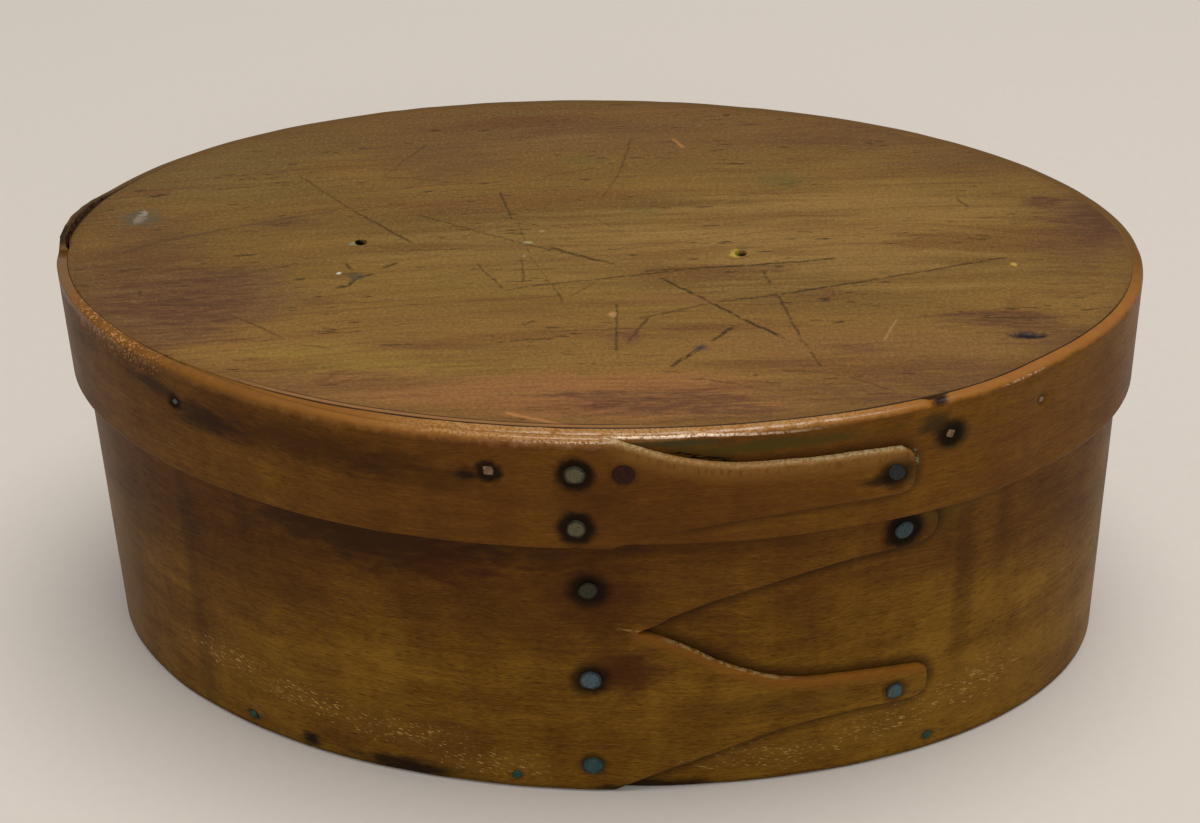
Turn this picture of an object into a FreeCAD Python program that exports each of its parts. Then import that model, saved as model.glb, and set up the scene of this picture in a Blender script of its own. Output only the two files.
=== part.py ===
import FreeCAD, Part
import math
import os

import Sketcher
from FreeCAD import Placement, Rotation, Vector

# An oval bentwood box with a lift-off lid. Each wall is one thin strip of wood, bent round an
# oval form and lapped on itself at the front, where its outer end is cut into pointed fingers
# that are held by small clinched tacks. A board closes the box below and another closes the
# lid above, each held by pins that pass through the wall into the edge of the board.
#
# Millimetres. +X runs along the box, -Y is the lapped front, +Z is up. The origin is on the
# base, midway along the box and midway between its front and back.

SIZES = [
    # the whole box
    ("lid_length", 114.3, "length of the lid, its largest size"),
    ("lid_width", 71.0, "width of the lid, without the thickness of the lap"),
    ("total_height", 45.4, "base of the box to top of the lid"),
    ("lid_band_height", 12.8, "height of the lid's wall"),
    # walls and fits
    ("body_wall", 1.1, "thickness of the body's wall"),
    ("lid_wall", 1.15, "thickness of the lid's wall"),
    ("lid_fit", 0.25, "clearance between lid and body all round"),
    ("lap_wall", 0.65, "thickness of the outer layer where it is thinned for the fingers"),
    ("lap_gap", 0.05, "clearance between the two layers of a lap"),
    ("feather_edge", 0.15, "thickness of the inner end of a strip at its feathered edge"),
    ("body_feather_angle", -140, "where the body's inner end starts"),
    ("lid_feather_angle", -132, "where the lid's inner end starts"),
    ("feather_run", 28, "angle over which an inner end is feathered"),
    ("rise_run", 10, "angle over which the outer layer lifts on to the inner end"),
    ("settle_run", 15, "angle over which the lid settles again past the body's fingers"),
    ("settle_margin", 1.5, "angle by which the lid clears the tips of the body's fingers"),
    # the lid's wall where it has sprung up behind its left end
    ("sprung_rise", 0.9, "how far the lid's wall stands above its top there"),
    ("sprung_run", 5.6, "length of the part that has sprung up"),
    ("sprung_crest", 1.6, "length of its level top"),
    ("sprung_past", 2.8, "how far it reaches in front of the long axis"),
    # boards
    ("bottom_board_thick", 4.5, "thickness of the bottom board"),
    ("lid_board_thick", 6.0, "thickness of the lid board"),
    ("board_fit", 0.02, "clearance between a board and its wall"),
    # body fingers
    ("finger_root_x", 4.8, "where the body's fingers leave the full strip"),
    ("finger_tip_x", 36.2, "end of the body's fingers"),
    ("notch_x", 6.9, "depth of the notch between the body's fingers"),
    ("notch_rise", 20.9, "height of the notch between the body's fingers"),
    ("low_finger_rise", 10.3, "height of the middle of the lower finger's tip"),
    ("high_finger_rise", 30.1, "height of the middle of the upper finger's tip"),
    ("finger_neck", 4.7, "width of a body finger behind its rounded tip"),
    # lid finger
    ("lid_finger_tip_x", 33.6, "end of the lid's finger"),
    ("lid_finger_drop", 6.6, "depth of the middle of the lid finger's tip below the top"),
    ("lid_finger_neck", 4.7, "width of the lid's finger behind its rounded tip"),
    # tacks
    ("tack_head_dia", 2.54, "diameter of a tack's head"),
    ("tack_rim", 0.2, "thickness of a tack's head at its rim"),
    ("tack_crown", 0.14, "height of the crown on a tack's head"),
    ("tack_sink", 0.12, "how far a tack's head is pressed into the wood"),
    ("tack_shank_dia", 1.0, "diameter of a tack's shank"),
    ("clinch_dia", 1.7, "diameter of a tack's clinched end"),
    ("clinch_thick", 0.2, "thickness of a tack's clinched end"),
    ("clinch_sink", 0.05, "how far a clinched end lies below the inner face"),
    ("tack_fit", 0.02, "clearance between a tack and the wood"),
    ("body_tack_x", 2.1, "column of tacks behind the body's fingers"),
    ("body_tack_rise", 3.6, "height of the lowest tack of the column"),
    ("body_tack_pitch", 11.3, "spacing of the column of tacks"),
    ("tip_setback", 3.6, "distance of a body finger's tack from its tip"),
    ("low_tip_drop", 0.6, "drop of the lower finger's tack below the middle of the tip"),
    ("lid_tack_x", 1.4, "column of tacks behind the lid's finger"),
    ("lid_tack_drop", 4.1, "depth of the lid's upper tack below the top"),
    ("lid_tack_pitch", 6.2, "spacing of the lid's two tacks"),
    ("lid_tip_setback", 2.2, "distance of the lid finger's tack from its tip"),
    # pins, plug and nails
    ("pin_dia", 1.05, "diameter of a lid pin"),
    ("bottom_pin_dia", 0.9, "diameter of a bottom pin"),
    ("plug_dia", 2.2, "diameter of the wooden plug beside the lid's tacks"),
    ("pin_length", 6.5, "length of a pin or plug"),
    ("pin_sink", 0.04, "how far a pin's end lies below the outer face"),
    ("pin_fit", 0.02, "clearance between a pin and the wood"),
    ("lid_pin_drop", 4.1, "depth of the lid's pins below the top"),
    ("bottom_pin_rise", 1.7, "height of the bottom pins"),
    ("nail_hole_dia", 1.1, "diameter of an old nail hole in the lid"),
    ("nail_hole_depth", 3.0, "depth of an old nail hole in the lid"),
    ("nail_dia", 1.6, "diameter of the nail left in the lid"),
    ("nail_length", 3.4, "length of the nail left in the lid"),
    ("nail_setback", 7.45, "distance of that nail from the lid's left end"),
    ("nail_side", 4.6, "distance of that nail from the lid's long axis"),
]

# Places round the box, as angles of the oval: 0 at the right end, -90 at the front.
LID_PIN_ANGLES = [-132.7, -96.6, -50.7, -37.4, 10, 50, 90, 130, 163]
LAPPED_LID_PINS = (-132.7, -96.6)
LID_PLUG_ANGLE = -84.1
BOTTOM_PIN_ANGLES = [-129, -96, -49, 5, 42, 88, 130, 175]
LAPPED_BOTTOM_PINS = (-129, -96)

# Old nail holes in the top of the lid, from its middle.
NAIL_HOLES = [(-24.7, -0.6), (15.6, -1.1)]

FULL_TURN = 360
POINT_STEP = 2       # degrees between the points of a strip's outline
TRIM_OVER = 1.0      # how far a trimming tool reaches past the wood
SAME_POINT = 1e-6    # corners closer than this are one corner

doc = FreeCAD.newDocument("oval_box")
sheet = doc.addObject("Spreadsheet::Sheet", "Sizes")


def fill_sheet():
    for row, (alias, value, note) in enumerate(SIZES, start=1):
        sheet.set(f"A{row}", note)
        sheet.set(f"B{row}", str(value))
        sheet.setAlias(f"B{row}", alias)
    doc.recompute()


def size(alias):
    return float(getattr(sheet, alias))


def bind(item, **expressions):
    """Tie an object's sizes to the sheet; a word in an expression is one of its aliases."""
    for name, expression in expressions.items():
        words = expression.split()
        tied = [f"Sizes.{word}" if word.isidentifier() else word for word in words]
        item.setExpression(name, " ".join(tied))


def ease(start, end, value):
    """A smooth step from 0 to 1 between two angles."""
    share = min(max((value - start) / (end - start), 0), 1)
    return share * share * (3 - 2 * share)


# --- the oval and its walls --------------------------------------------------------------
#
# Every face of a wall is an oval of the same family: the form's own oval, grown by an offset.
# The walls are strips wound a little more than once round it, so a place on a strip is an
# angle that runs on past a full turn into the outer layer of the lap.


def half_length():
    return size("lid_length") / 2 - size("body_wall") - size("lid_fit") - size("lid_wall")


def half_width():
    return size("lid_width") / 2 - size("body_wall") - size("lid_fit") - size("lid_wall")


def lap_bulge():
    """How far one lap lifts the outer face."""
    return size("lap_gap") + size("lap_wall")


# Both laps and the tack heads thicken the front only, so the ovals sit back by half of that.
FRONT_SHIFT = "lap_gap + lap_wall + ( tack_rim + tack_crown - tack_sink ) / 2"


def front_shift():
    head_stand = size("tack_rim") + size("tack_crown") - size("tack_sink")
    return lap_bulge() + head_stand / 2


def on_oval(angle, offset):
    turn = math.radians(angle)
    across = (half_width() + offset) * math.sin(turn) + front_shift()
    return Vector((half_length() + offset) * math.cos(turn), across, 0)


def outward(angle, offset):
    turn = math.radians(angle)
    along = (half_width() + offset) * math.cos(turn)
    across = (half_length() + offset) * math.sin(turn)
    return Vector(along, across, 0).normalize()


def front_angle(x, offset):
    """The angle of the point of the front whose X is given."""
    return -math.degrees(math.acos(x / (half_length() + offset)))


class Strip:
    """The wall of the body or of the lid, given its inner face as an offset of each angle."""

    def __init__(self, wall_name, feather_angle, inner_offset):
        self.wall_name = wall_name
        self.wall = size(wall_name)
        self.start = feather_angle
        self.full = feather_angle + size("feather_run")
        self.inner_offset = inner_offset

    def inner_layer_thickness(self, place):
        edge = size("feather_edge")
        return edge + (self.wall - edge) * ease(self.start, self.full, place)

    def inner(self, place):
        """Offset of the inner face: past a full turn it lies on the inner layer."""
        lap = place - FULL_TURN
        lifted = (size("feather_edge") + size("lap_gap")) * ease(self.start - size("rise_run"),
                                                                self.start, lap)
        thickened = self.inner_layer_thickness(lap) - size("feather_edge")
        return self.inner_offset(place) + lifted + thickened

    def outer(self, place):
        """Offset of the outer face: the strip is thinned where it forms the fingers."""
        lap = place - FULL_TURN
        if lap < self.start - size("rise_run"):
            return self.inner_offset(place) + self.inner_layer_thickness(place)
        thinned = (self.wall - size("lap_wall")) * ease(self.start, self.full, lap)
        return self.inner(place) + self.wall - thinned

    def lapped_offset(self, angle):
        return self.outer(angle + FULL_TURN)


def outline(offset_at, start, end):
    """A smooth curve round the box, from one place to another."""
    count = math.ceil((end - start) / POINT_STEP)
    places = [start + (end - start) * step / count for step in range(count + 1)]
    curve = Part.BSplineCurve()
    curve.interpolate([on_oval(place, offset_at(place)) for place in places])
    return curve.toShape()


def strip_face(inner_at, outer_at, start, end):
    """The plan of a strip: its two faces joined by its two ends."""
    inner_edge = outline(inner_at, start, end)
    outer_edge = outline(outer_at, start, end)
    ends = [Part.LineSegment(on_oval(place, inner_at(place)), on_oval(place, outer_at(place)))
            for place in (start, end)]
    edges = [inner_edge, ends[1].toShape(), outer_edge, ends[0].toShape()]
    return Part.Face(Part.Wire(Part.__sortEdges__(edges)))


def plan(name, face):
    """A flat face drawn by formula, the base of an extrusion."""
    item = doc.addObject("Part::Feature", name)
    item.Shape = face
    return item


def extrude(name, base, direction, length, start):
    """A solid as long as the named sizes say, from a place along its direction."""
    item = doc.addObject("Part::Extrusion", name)
    item.Base = base
    item.DirMode = "Custom"
    item.Dir = direction
    item.Solid = True
    bind(item, LengthFwd=length)
    item.Placement = Placement(direction * start, Rotation())
    return item


def boolean(kind, name, base, tool):
    item = doc.addObject(kind, name)
    item.Base = base
    item.Tool = tool
    return item


def fuse(name, shapes):
    item = doc.addObject("Part::MultiFuse", name)
    item.Shapes = shapes
    return item


# --- fingers -----------------------------------------------------------------------------


def finger_edges(root, tip_x, middle, neck, mouth):
    """The edge of one finger seen from the front, from its upper root round to its lower.

    root is the X and height of its upper root, and mouth those of its lower one. The edges
    sweep in from the roots to the neck, and the tip is one round end.
    """
    radius = neck / 2
    centre_x = tip_x - radius
    high = Vector(centre_x, 0, middle + radius)
    low = Vector(centre_x, 0, middle - radius)
    tip = Part.Arc(high, Vector(tip_x, 0, middle), low)
    upper = sweep_edge(Vector(root[0], 0, root[1]), high)
    lower = sweep_edge(low, Vector(mouth[0], 0, mouth[1]), rooted_last=True)
    return [upper, tip.toShape(), lower]


def sweep_edge(first, last, rooted_last=False):
    """A hollow curve that leaves a root steeply and runs level into the neck of a finger."""
    root, neck = (last, first) if rooted_last else (first, last)
    early = Vector(root.x + (neck.x - root.x) * 0.15, 0, root.z + (neck.z - root.z) * 0.5)
    late = Vector(root.x + (neck.x - root.x) * 0.5, 0, root.z + (neck.z - root.z) * 0.9)
    curve = Part.BezierCurve()
    curve.setPoles([first, late, early, last] if rooted_last else [first, early, late, last])
    return curve.toShape()


def finger_face(edges, top):
    """The part of the outer layer that is kept: all left of the roots, and the fingers."""
    left = -TRIM_OVER * 5
    first = edges[0].Vertexes[0].Point
    last = edges[-1].Vertexes[-1].Point
    corners = [last, Vector(last.x, 0, -TRIM_OVER * 2), Vector(left, 0, -TRIM_OVER * 2),
               Vector(left, 0, top + TRIM_OVER * 2), Vector(first.x, 0, top + TRIM_OVER * 2),
               first]
    sides = [Part.LineSegment(a, b).toShape() for a, b in zip(corners, corners[1:])
             if a.distanceToPoint(b) > SAME_POINT]
    return Part.Face(Part.Wire(Part.__sortEdges__(edges + sides)))


def body_finger_face():
    root = size("finger_root_x")
    notch = (size("notch_x"), size("notch_rise"))
    top = size("total_height") - size("lid_board_thick")
    upper = finger_edges((root, top), size("finger_tip_x"), size("high_finger_rise"),
                         size("finger_neck"), notch)
    lower = finger_edges(notch, size("finger_tip_x"), size("low_finger_rise"),
                         size("finger_neck"), (root, 0))
    return finger_face(upper + lower, top)


def lid_finger_face():
    root = size("finger_root_x")
    top = size("total_height")
    edges = finger_edges((root, top), size("lid_finger_tip_x"), top - size("lid_finger_drop"),
                         size("lid_finger_neck"), (root, top - size("lid_band_height")))
    return finger_face(edges, top)


# --- the two walls -----------------------------------------------------------------------


def body_strip():
    return Strip("body_wall", size("body_feather_angle"), lambda place: 0)


def lid_strip(body):
    """The lid's wall follows the outer face of the body, laps and all, at its clearance."""
    tip = front_angle(size("finger_tip_x"), body.wall + lap_bulge()) + size("settle_margin")

    def inner_offset(place):
        angle = (place + FULL_TURN / 2) % FULL_TURN - FULL_TURN / 2
        flat = body.wall + size("lid_fit")
        if angle < body.start - size("rise_run"):
            return flat
        lifted = body.lapped_offset(angle) - body.wall
        return flat + lifted * (1 - ease(tip, tip + size("settle_run"), angle))

    return Strip("lid_wall", size("lid_feather_angle"), inner_offset)


def above_lid_top():
    """All above the lid's top, but for the stretch of its wall that has sprung up."""
    top = size("total_height")
    left = -size("lid_length") / 2
    block = doc.addObject("Part::Box", "lid_level_block")
    bind(block, Length=f"lid_length + {2 * TRIM_OVER}", Width="2 * lid_width",
         Height=f"sprung_rise + {TRIM_OVER}")
    block.Placement.Base = Vector(left - TRIM_OVER, -size("lid_width"), top)
    crest = left + size("sprung_crest")
    end = left + size("sprung_run")
    corners = [(left - TRIM_OVER, top - TRIM_OVER), (end, top - TRIM_OVER), (end, top),
               (crest, top + size("sprung_rise")),
               (left - TRIM_OVER, top + size("sprung_rise"))]
    outline_points = [Vector(x, 0, z) for x, z in corners + corners[:1]]
    ramp = Part.Face(Part.makePolygon(outline_points))
    kept = extrude("lid_sprung_part", plan("lid_sprung_plan", ramp), Vector(0, 1, 0),
                   "lid_width", front_shift() - size("sprung_past"))
    return boolean("Part::Cut", "lid_level_trim", block, kept)


def wall(name, strip, height, rise, tip_x, kept_face):
    """A strip, with its outer layer trimmed to the fingers."""
    end = front_angle(tip_x, strip.outer(FULL_TURN - 50)) + size("settle_margin")
    face = strip_face(strip.inner, strip.outer, strip.start, end + FULL_TURN)
    solid = extrude(f"{name}_strip", plan(f"{name}_plan", face), Vector(0, 0, 1), height, rise)

    def above_inner_layer(place):
        return strip.inner(place) - size("lap_gap") / 2

    def past_outer_layer(place):
        return strip.outer(place) + TRIM_OVER

    middle = front_angle(0, 0) + FULL_TURN
    trim_end = end + FULL_TURN + size("settle_margin")
    zone = strip_face(above_inner_layer, past_outer_layer, middle, trim_end)
    block = extrude(f"{name}_trim_block", plan(f"{name}_trim_plan", zone), Vector(0, 0, 1),
                    f"{height} + {2 * TRIM_OVER}", rise - TRIM_OVER)
    kept = extrude(f"{name}_fingers", plan(f"{name}_finger_plan", kept_face), Vector(0, -1, 0),
                   "lid_width", 0)
    trim = boolean("Part::Cut", f"{name}_trim", block, kept)
    return boolean("Part::Cut", f"{name}_wall", solid, trim)


# --- tacks, pins and nails ---------------------------------------------------------------


def cylinder(name, place, radius, length, start):
    """A cylinder along the outward line of a place, from a distance along that line."""
    item = doc.addObject("Part::Cylinder", name)
    bind(item, Radius=radius, Height=length)
    item.Placement = place.multiply(Placement(Vector(0, 0, start), Rotation()))
    return item


def facing(point, direction):
    return Placement(point, Rotation(Vector(0, 0, 1), direction))


def front_place(x, rise, offset):
    angle = front_angle(x, offset)
    point = on_oval(angle, offset) + Vector(0, 0, rise)
    return facing(point, outward(angle, offset))


def round_place(angle, rise, offset):
    point = on_oval(angle, offset) + Vector(0, 0, rise)
    return facing(point, outward(angle, offset))


def lap_depth(strip):
    return strip.wall + lap_bulge()


def tack(name, place, strip):
    """A flat-headed tack through both layers, its end clinched in the inner face."""
    inner_end = size("clinch_sink") - lap_depth(strip)
    head = cylinder(f"{name}_head", place, "tack_head_dia / 2", "tack_rim",
                    -size("tack_sink"))
    crown = doc.addObject("Part::Cone", f"{name}_crown")
    bind(crown, Radius1="tack_head_dia / 2", Radius2="tack_head_dia / 3", Height="tack_crown")
    crown_start = Vector(0, 0, size("tack_rim") - size("tack_sink"))
    crown.Placement = place.multiply(Placement(crown_start, Rotation()))
    shank = cylinder(f"{name}_shank", place, "tack_shank_dia / 2",
                     f"{strip.wall_name} + lap_gap + lap_wall - clinch_sink - tack_sink / 2",
                     inner_end)
    clinch = cylinder(f"{name}_clinch", place, "clinch_dia / 2", "clinch_thick", inner_end)
    return fuse(name, [head, crown, shank, clinch])


def tack_hole(name, place, strip):
    """The seat of a tack: a shallow flat for its head, its hole, and one for its clinch."""
    inner_end = -lap_depth(strip) - TRIM_OVER
    seat = cylinder(f"{name}_seat", place, "tack_head_dia / 2 + tack_fit",
                    "tack_sink + tack_rim", -size("tack_sink"))
    bore = cylinder(f"{name}_bore", place, "tack_shank_dia / 2 + tack_fit",
                    f"{strip.wall_name} + lap_gap + lap_wall + {TRIM_OVER}", inner_end)
    back = cylinder(f"{name}_back", place, "clinch_dia / 2 + tack_fit",
                    f"clinch_sink + clinch_thick + tack_fit + {TRIM_OVER}", inner_end)
    return fuse(name, [seat, bore, back])


def pin(name, place, diameter):
    return cylinder(name, place, f"{diameter} / 2", "pin_length",
                    -size("pin_sink") - size("pin_length"))


def pin_hole(name, place, diameter):
    return cylinder(name, place, f"{diameter} / 2 + pin_fit",
                    f"pin_length + pin_fit + {TRIM_OVER}",
                    -size("pin_sink") - size("pin_length") - size("pin_fit"))


def body_tack_places(strip):
    offset = strip.wall + lap_bulge()
    column = [(size("body_tack_x"), size("body_tack_rise") + step * size("body_tack_pitch"))
              for step in range(3)]
    tip_x = size("finger_tip_x") - size("tip_setback")
    tips = [(tip_x, size("high_finger_rise")),
            (tip_x, size("low_finger_rise") - size("low_tip_drop"))]
    return [front_place(x, rise, offset) for x, rise in column + tips]


def lid_tack_places(strip):
    offset = strip.lapped_offset(front_angle(0, 0))
    top = size("total_height")
    high = top - size("lid_tack_drop")
    low = high - size("lid_tack_pitch")
    tip = (size("lid_finger_tip_x") - size("lid_tip_setback"), top - size("lid_finger_drop"))
    places = [(size("lid_tack_x"), high), (size("lid_tack_x"), low), tip]
    return [front_place(x, rise, offset) for x, rise in places]


def pin_places(strip, angles, lapped, rise):
    offsets = [strip.lapped_offset(angle) if angle in lapped else strip.outer(angle)
               for angle in angles]
    return [round_place(angle, rise, offset) for angle, offset in zip(angles, offsets)]


# --- boards ------------------------------------------------------------------------------


def oval_sketch(body, name, centre, lengthwise, crosswise):
    """An oval on the body's ground plane. Its two axes and its centre are tied to the sheet."""
    sketch = body.newObject("Sketcher::SketchObject", name)
    ground = next(item for item in body.Origin.OriginFeatures if item.Role == "XY_Plane")
    sketch.AttachmentSupport = [(ground, "")]
    sketch.MapMode = "FlatFace"
    end = centre + Vector(half_length(), 0, 0)
    side = centre + Vector(0, half_width(), 0)
    oval = sketch.addGeometry(Part.Ellipse(end, side, centre), False)
    sketch.exposeInternalGeometry(oval)
    long_axis, short_axis = oval + 1, oval + 2
    origin, y_axis, centre_point = -1, -2, 3
    sketch.addConstraint(Sketcher.Constraint("Horizontal", long_axis))
    sketch.addConstraint(Sketcher.Constraint("PointOnObject", oval, centre_point, y_axis))
    tied = {
        lengthwise: Sketcher.Constraint("Distance", long_axis, 2 * half_length()),
        crosswise: Sketcher.Constraint("Distance", short_axis, 2 * half_width()),
        FRONT_SHIFT: Sketcher.Constraint("DistanceY", origin, 1, oval, centre_point, centre.y),
    }
    for expression, constraint in tied.items():
        index = sketch.addConstraint(constraint)
        bind(sketch, **{f"Constraints[{index}]": expression})
    return sketch


def bottom_board():
    """The oval board that closes the box below."""
    body = doc.addObject("PartDesign::Body", "bottom_board_blank")
    walls = "2 * ( body_wall + lid_fit + lid_wall + board_fit )"
    sketch = oval_sketch(body, "bottom_board_outline", Vector(0, front_shift(), 0),
                         f"lid_length - {walls}", f"lid_width - {walls}")
    pad = body.newObject("PartDesign::Pad", "bottom_board_pad")
    pad.Profile = sketch
    bind(pad, Length="bottom_board_thick")
    body.Tip = pad
    return body


def lid_board(strip):
    """The board that closes the lid above: it fills the lid's wall, lap and all."""

    def board_offset(place):
        return strip.inner_offset(place) - size("board_fit")

    curve = Part.BSplineCurve()
    count = FULL_TURN // POINT_STEP
    places = [-FULL_TURN / 2 + FULL_TURN * step / count for step in range(count)]
    curve.interpolate(Points=[on_oval(place, board_offset(place)) for place in places],
                      PeriodicFlag=True)
    face = Part.Face(Part.Wire([curve.toShape()]))
    rise = size("total_height") - size("lid_board_thick")
    return extrude("lid_board_blank", plan("lid_board_plan", face), Vector(0, 0, 1),
                   "lid_board_thick", rise)


def top_place(x, y):
    return facing(Vector(x, y + front_shift(), size("total_height")), Vector(0, 0, 1))


def nail_place():
    return top_place(size("nail_setback") - size("lid_length") / 2, size("nail_side"))


def lid_top_holes():
    """Two old nail holes, and the hole of the nail that is still there."""
    holes = [cylinder(f"nail_hole_{number}", top_place(x, y), "nail_hole_dia / 2",
                      f"nail_hole_depth + {TRIM_OVER}", -size("nail_hole_depth"))
             for number, (x, y) in enumerate(NAIL_HOLES, start=1)]
    seat = cylinder("nail_seat", nail_place(), "nail_dia / 2 + pin_fit",
                    f"nail_length + pin_fit + {TRIM_OVER}",
                    -size("nail_length") - size("pin_fit"))
    return holes + [seat]


# --- the box -----------------------------------------------------------------------------


def make_body(strip):
    """The lower half: its wall, its board, and what holds them."""
    band = wall("body", strip, "total_height - lid_board_thick", 0, size("finger_tip_x"),
                body_finger_face())
    tack_places = body_tack_places(strip)
    pins_at = pin_places(strip, BOTTOM_PIN_ANGLES, LAPPED_BOTTOM_PINS,
                         size("bottom_pin_rise"))
    pieces = []
    tack_holes = []
    for number, place in enumerate(tack_places, start=1):
        pieces.append(tack(f"body_tack_{number}", place, strip))
        tack_holes.append(tack_hole(f"body_tack_hole_{number}", place, strip))
    pin_holes = []
    for number, place in enumerate(pins_at, start=1):
        pieces.append(pin(f"bottom_pin_{number}", place, "bottom_pin_dia"))
        pin_holes.append(pin_hole(f"bottom_pin_hole_{number}", place, "bottom_pin_dia"))
    pin_tool = fuse("bottom_pin_holes", pin_holes)
    tool = fuse("body_wall_holes", tack_holes + [pin_tool])
    pieces.append(boolean("Part::Cut", "body_band", band, tool))
    pieces.append(boolean("Part::Cut", "bottom_board", bottom_board(), pin_tool))
    return pieces


def make_lid(strip):
    """The lid: its wall, its board, and what holds them."""
    top = size("total_height")
    wound = wall("lid", strip, "lid_band_height + sprung_rise",
                 top - size("lid_band_height"), size("lid_finger_tip_x"), lid_finger_face())
    band = boolean("Part::Cut", "lid_levelled_wall", wound, above_lid_top())
    pieces = []
    tack_holes = []
    for number, place in enumerate(lid_tack_places(strip), start=1):
        pieces.append(tack(f"lid_tack_{number}", place, strip))
        tack_holes.append(tack_hole(f"lid_tack_hole_{number}", place, strip))
    pin_rise = top - size("lid_pin_drop")
    pin_holes = []
    pins_at = pin_places(strip, LID_PIN_ANGLES, LAPPED_LID_PINS, pin_rise)
    for number, place in enumerate(pins_at, start=1):
        pieces.append(pin(f"lid_pin_{number}", place, "pin_dia"))
        pin_holes.append(pin_hole(f"lid_pin_hole_{number}", place, "pin_dia"))
    plug_place = pin_places(strip, [LID_PLUG_ANGLE], (LID_PLUG_ANGLE,), pin_rise)[0]
    pieces.append(pin("lid_plug", plug_place, "plug_dia"))
    pin_holes.append(pin_hole("lid_plug_hole", plug_place, "plug_dia"))
    pin_tool = fuse("lid_pin_holes", pin_holes)
    wall_tool = fuse("lid_wall_holes", tack_holes + [pin_tool])
    pieces.append(boolean("Part::Cut", "lid_band", band, wall_tool))
    board_tool = fuse("lid_board_holes", lid_top_holes() + [pin_tool])
    pieces.append(boolean("Part::Cut", "lid_board", lid_board(strip), board_tool))
    pieces.append(cylinder("lid_top_nail", nail_place(), "nail_dia / 2", "nail_length",
                           -size("nail_length")))
    return pieces


def check(pieces):
    for item in doc.Objects:
        if "Invalid" in item.State or "Error" in item.State:
            raise RuntimeError(f"{item.Name} failed: {item.State}")
    for piece in pieces:
        shape = piece.Shape
        if shape.isNull() or not shape.isValid() or len(shape.Solids) != 1:
            raise RuntimeError(f"{piece.Label} is not one sound solid")


def write(pieces):
    os.makedirs("parts", exist_ok=True)
    for piece in pieces:
        piece.Shape.exportStep(f"parts/{piece.Label}.step")
        print(piece.Label, round(piece.Shape.Volume, 3))


def main():
    fill_sheet()
    body = body_strip()
    pieces = make_body(body) + make_lid(lid_strip(body))
    doc.recompute()
    check(pieces)
    write(pieces)


main()
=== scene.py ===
import math

import bpy
import numpy as np
from bpy.props import FloatProperty, FloatVectorProperty, PointerProperty
from mathutils import Euler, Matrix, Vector
from mathutils.geometry import delaunay_2d_cdt


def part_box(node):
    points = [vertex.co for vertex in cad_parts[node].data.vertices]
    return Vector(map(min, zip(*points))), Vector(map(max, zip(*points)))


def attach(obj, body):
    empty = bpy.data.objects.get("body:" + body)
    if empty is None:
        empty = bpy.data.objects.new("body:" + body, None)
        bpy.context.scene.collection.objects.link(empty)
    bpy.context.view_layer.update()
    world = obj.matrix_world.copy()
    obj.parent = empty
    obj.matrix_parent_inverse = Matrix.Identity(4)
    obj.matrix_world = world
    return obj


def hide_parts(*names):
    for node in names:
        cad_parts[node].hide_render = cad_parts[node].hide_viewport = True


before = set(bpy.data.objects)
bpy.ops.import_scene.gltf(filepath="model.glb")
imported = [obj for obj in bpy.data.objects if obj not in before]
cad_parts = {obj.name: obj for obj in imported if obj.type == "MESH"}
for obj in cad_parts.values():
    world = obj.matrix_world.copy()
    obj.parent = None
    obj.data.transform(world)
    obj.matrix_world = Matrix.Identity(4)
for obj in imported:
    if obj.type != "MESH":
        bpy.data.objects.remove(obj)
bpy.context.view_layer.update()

bl_info = {
    "name": "Oval Bentwood Box",
    "version": (1, 0, 0),
    "blender": (4, 5, 0),
    "location": "View3D > Sidebar > Oval Box",
    "description": "A small oval bentwood box with lapped fingers and a lift-off lid",
    "category": "Add Mesh",
}

MM = 0.001
FULL_TURN = 360
HALF_TURN = 180
BODY_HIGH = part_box("body_band")[1]
LID_LOW, LID_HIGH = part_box("lid_band")
BOARD_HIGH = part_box("lid_board")[1]


# --- sizes and colours ---------------------------------------------------------------------


def linear(*levels):
    """A colour's light, from how it looks on a screen, where each level is 0 to 255."""
    shares = [level / 255 for level in levels]
    return tuple(s / 12.92 if s <= 0.04045 else ((s + 0.055) / 1.055) ** 2.4 for s in shares)


def rgb(*levels):
    """The same colour as a node's socket takes it."""
    return (*linear(*levels), 1)


def length(name, description, default):
    return FloatProperty(name=name, description=description, default=default, unit="LENGTH",
                         precision=5)


def angle(name, description, turn):
    return FloatProperty(name=name, description=description, default=math.radians(turn),
                         unit="ROTATION")


def colour(name, description, red, green, blue):
    return FloatVectorProperty(name=name, description=description, subtype="COLOR", min=0, max=1,
                               default=linear(red, green, blue))


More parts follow.
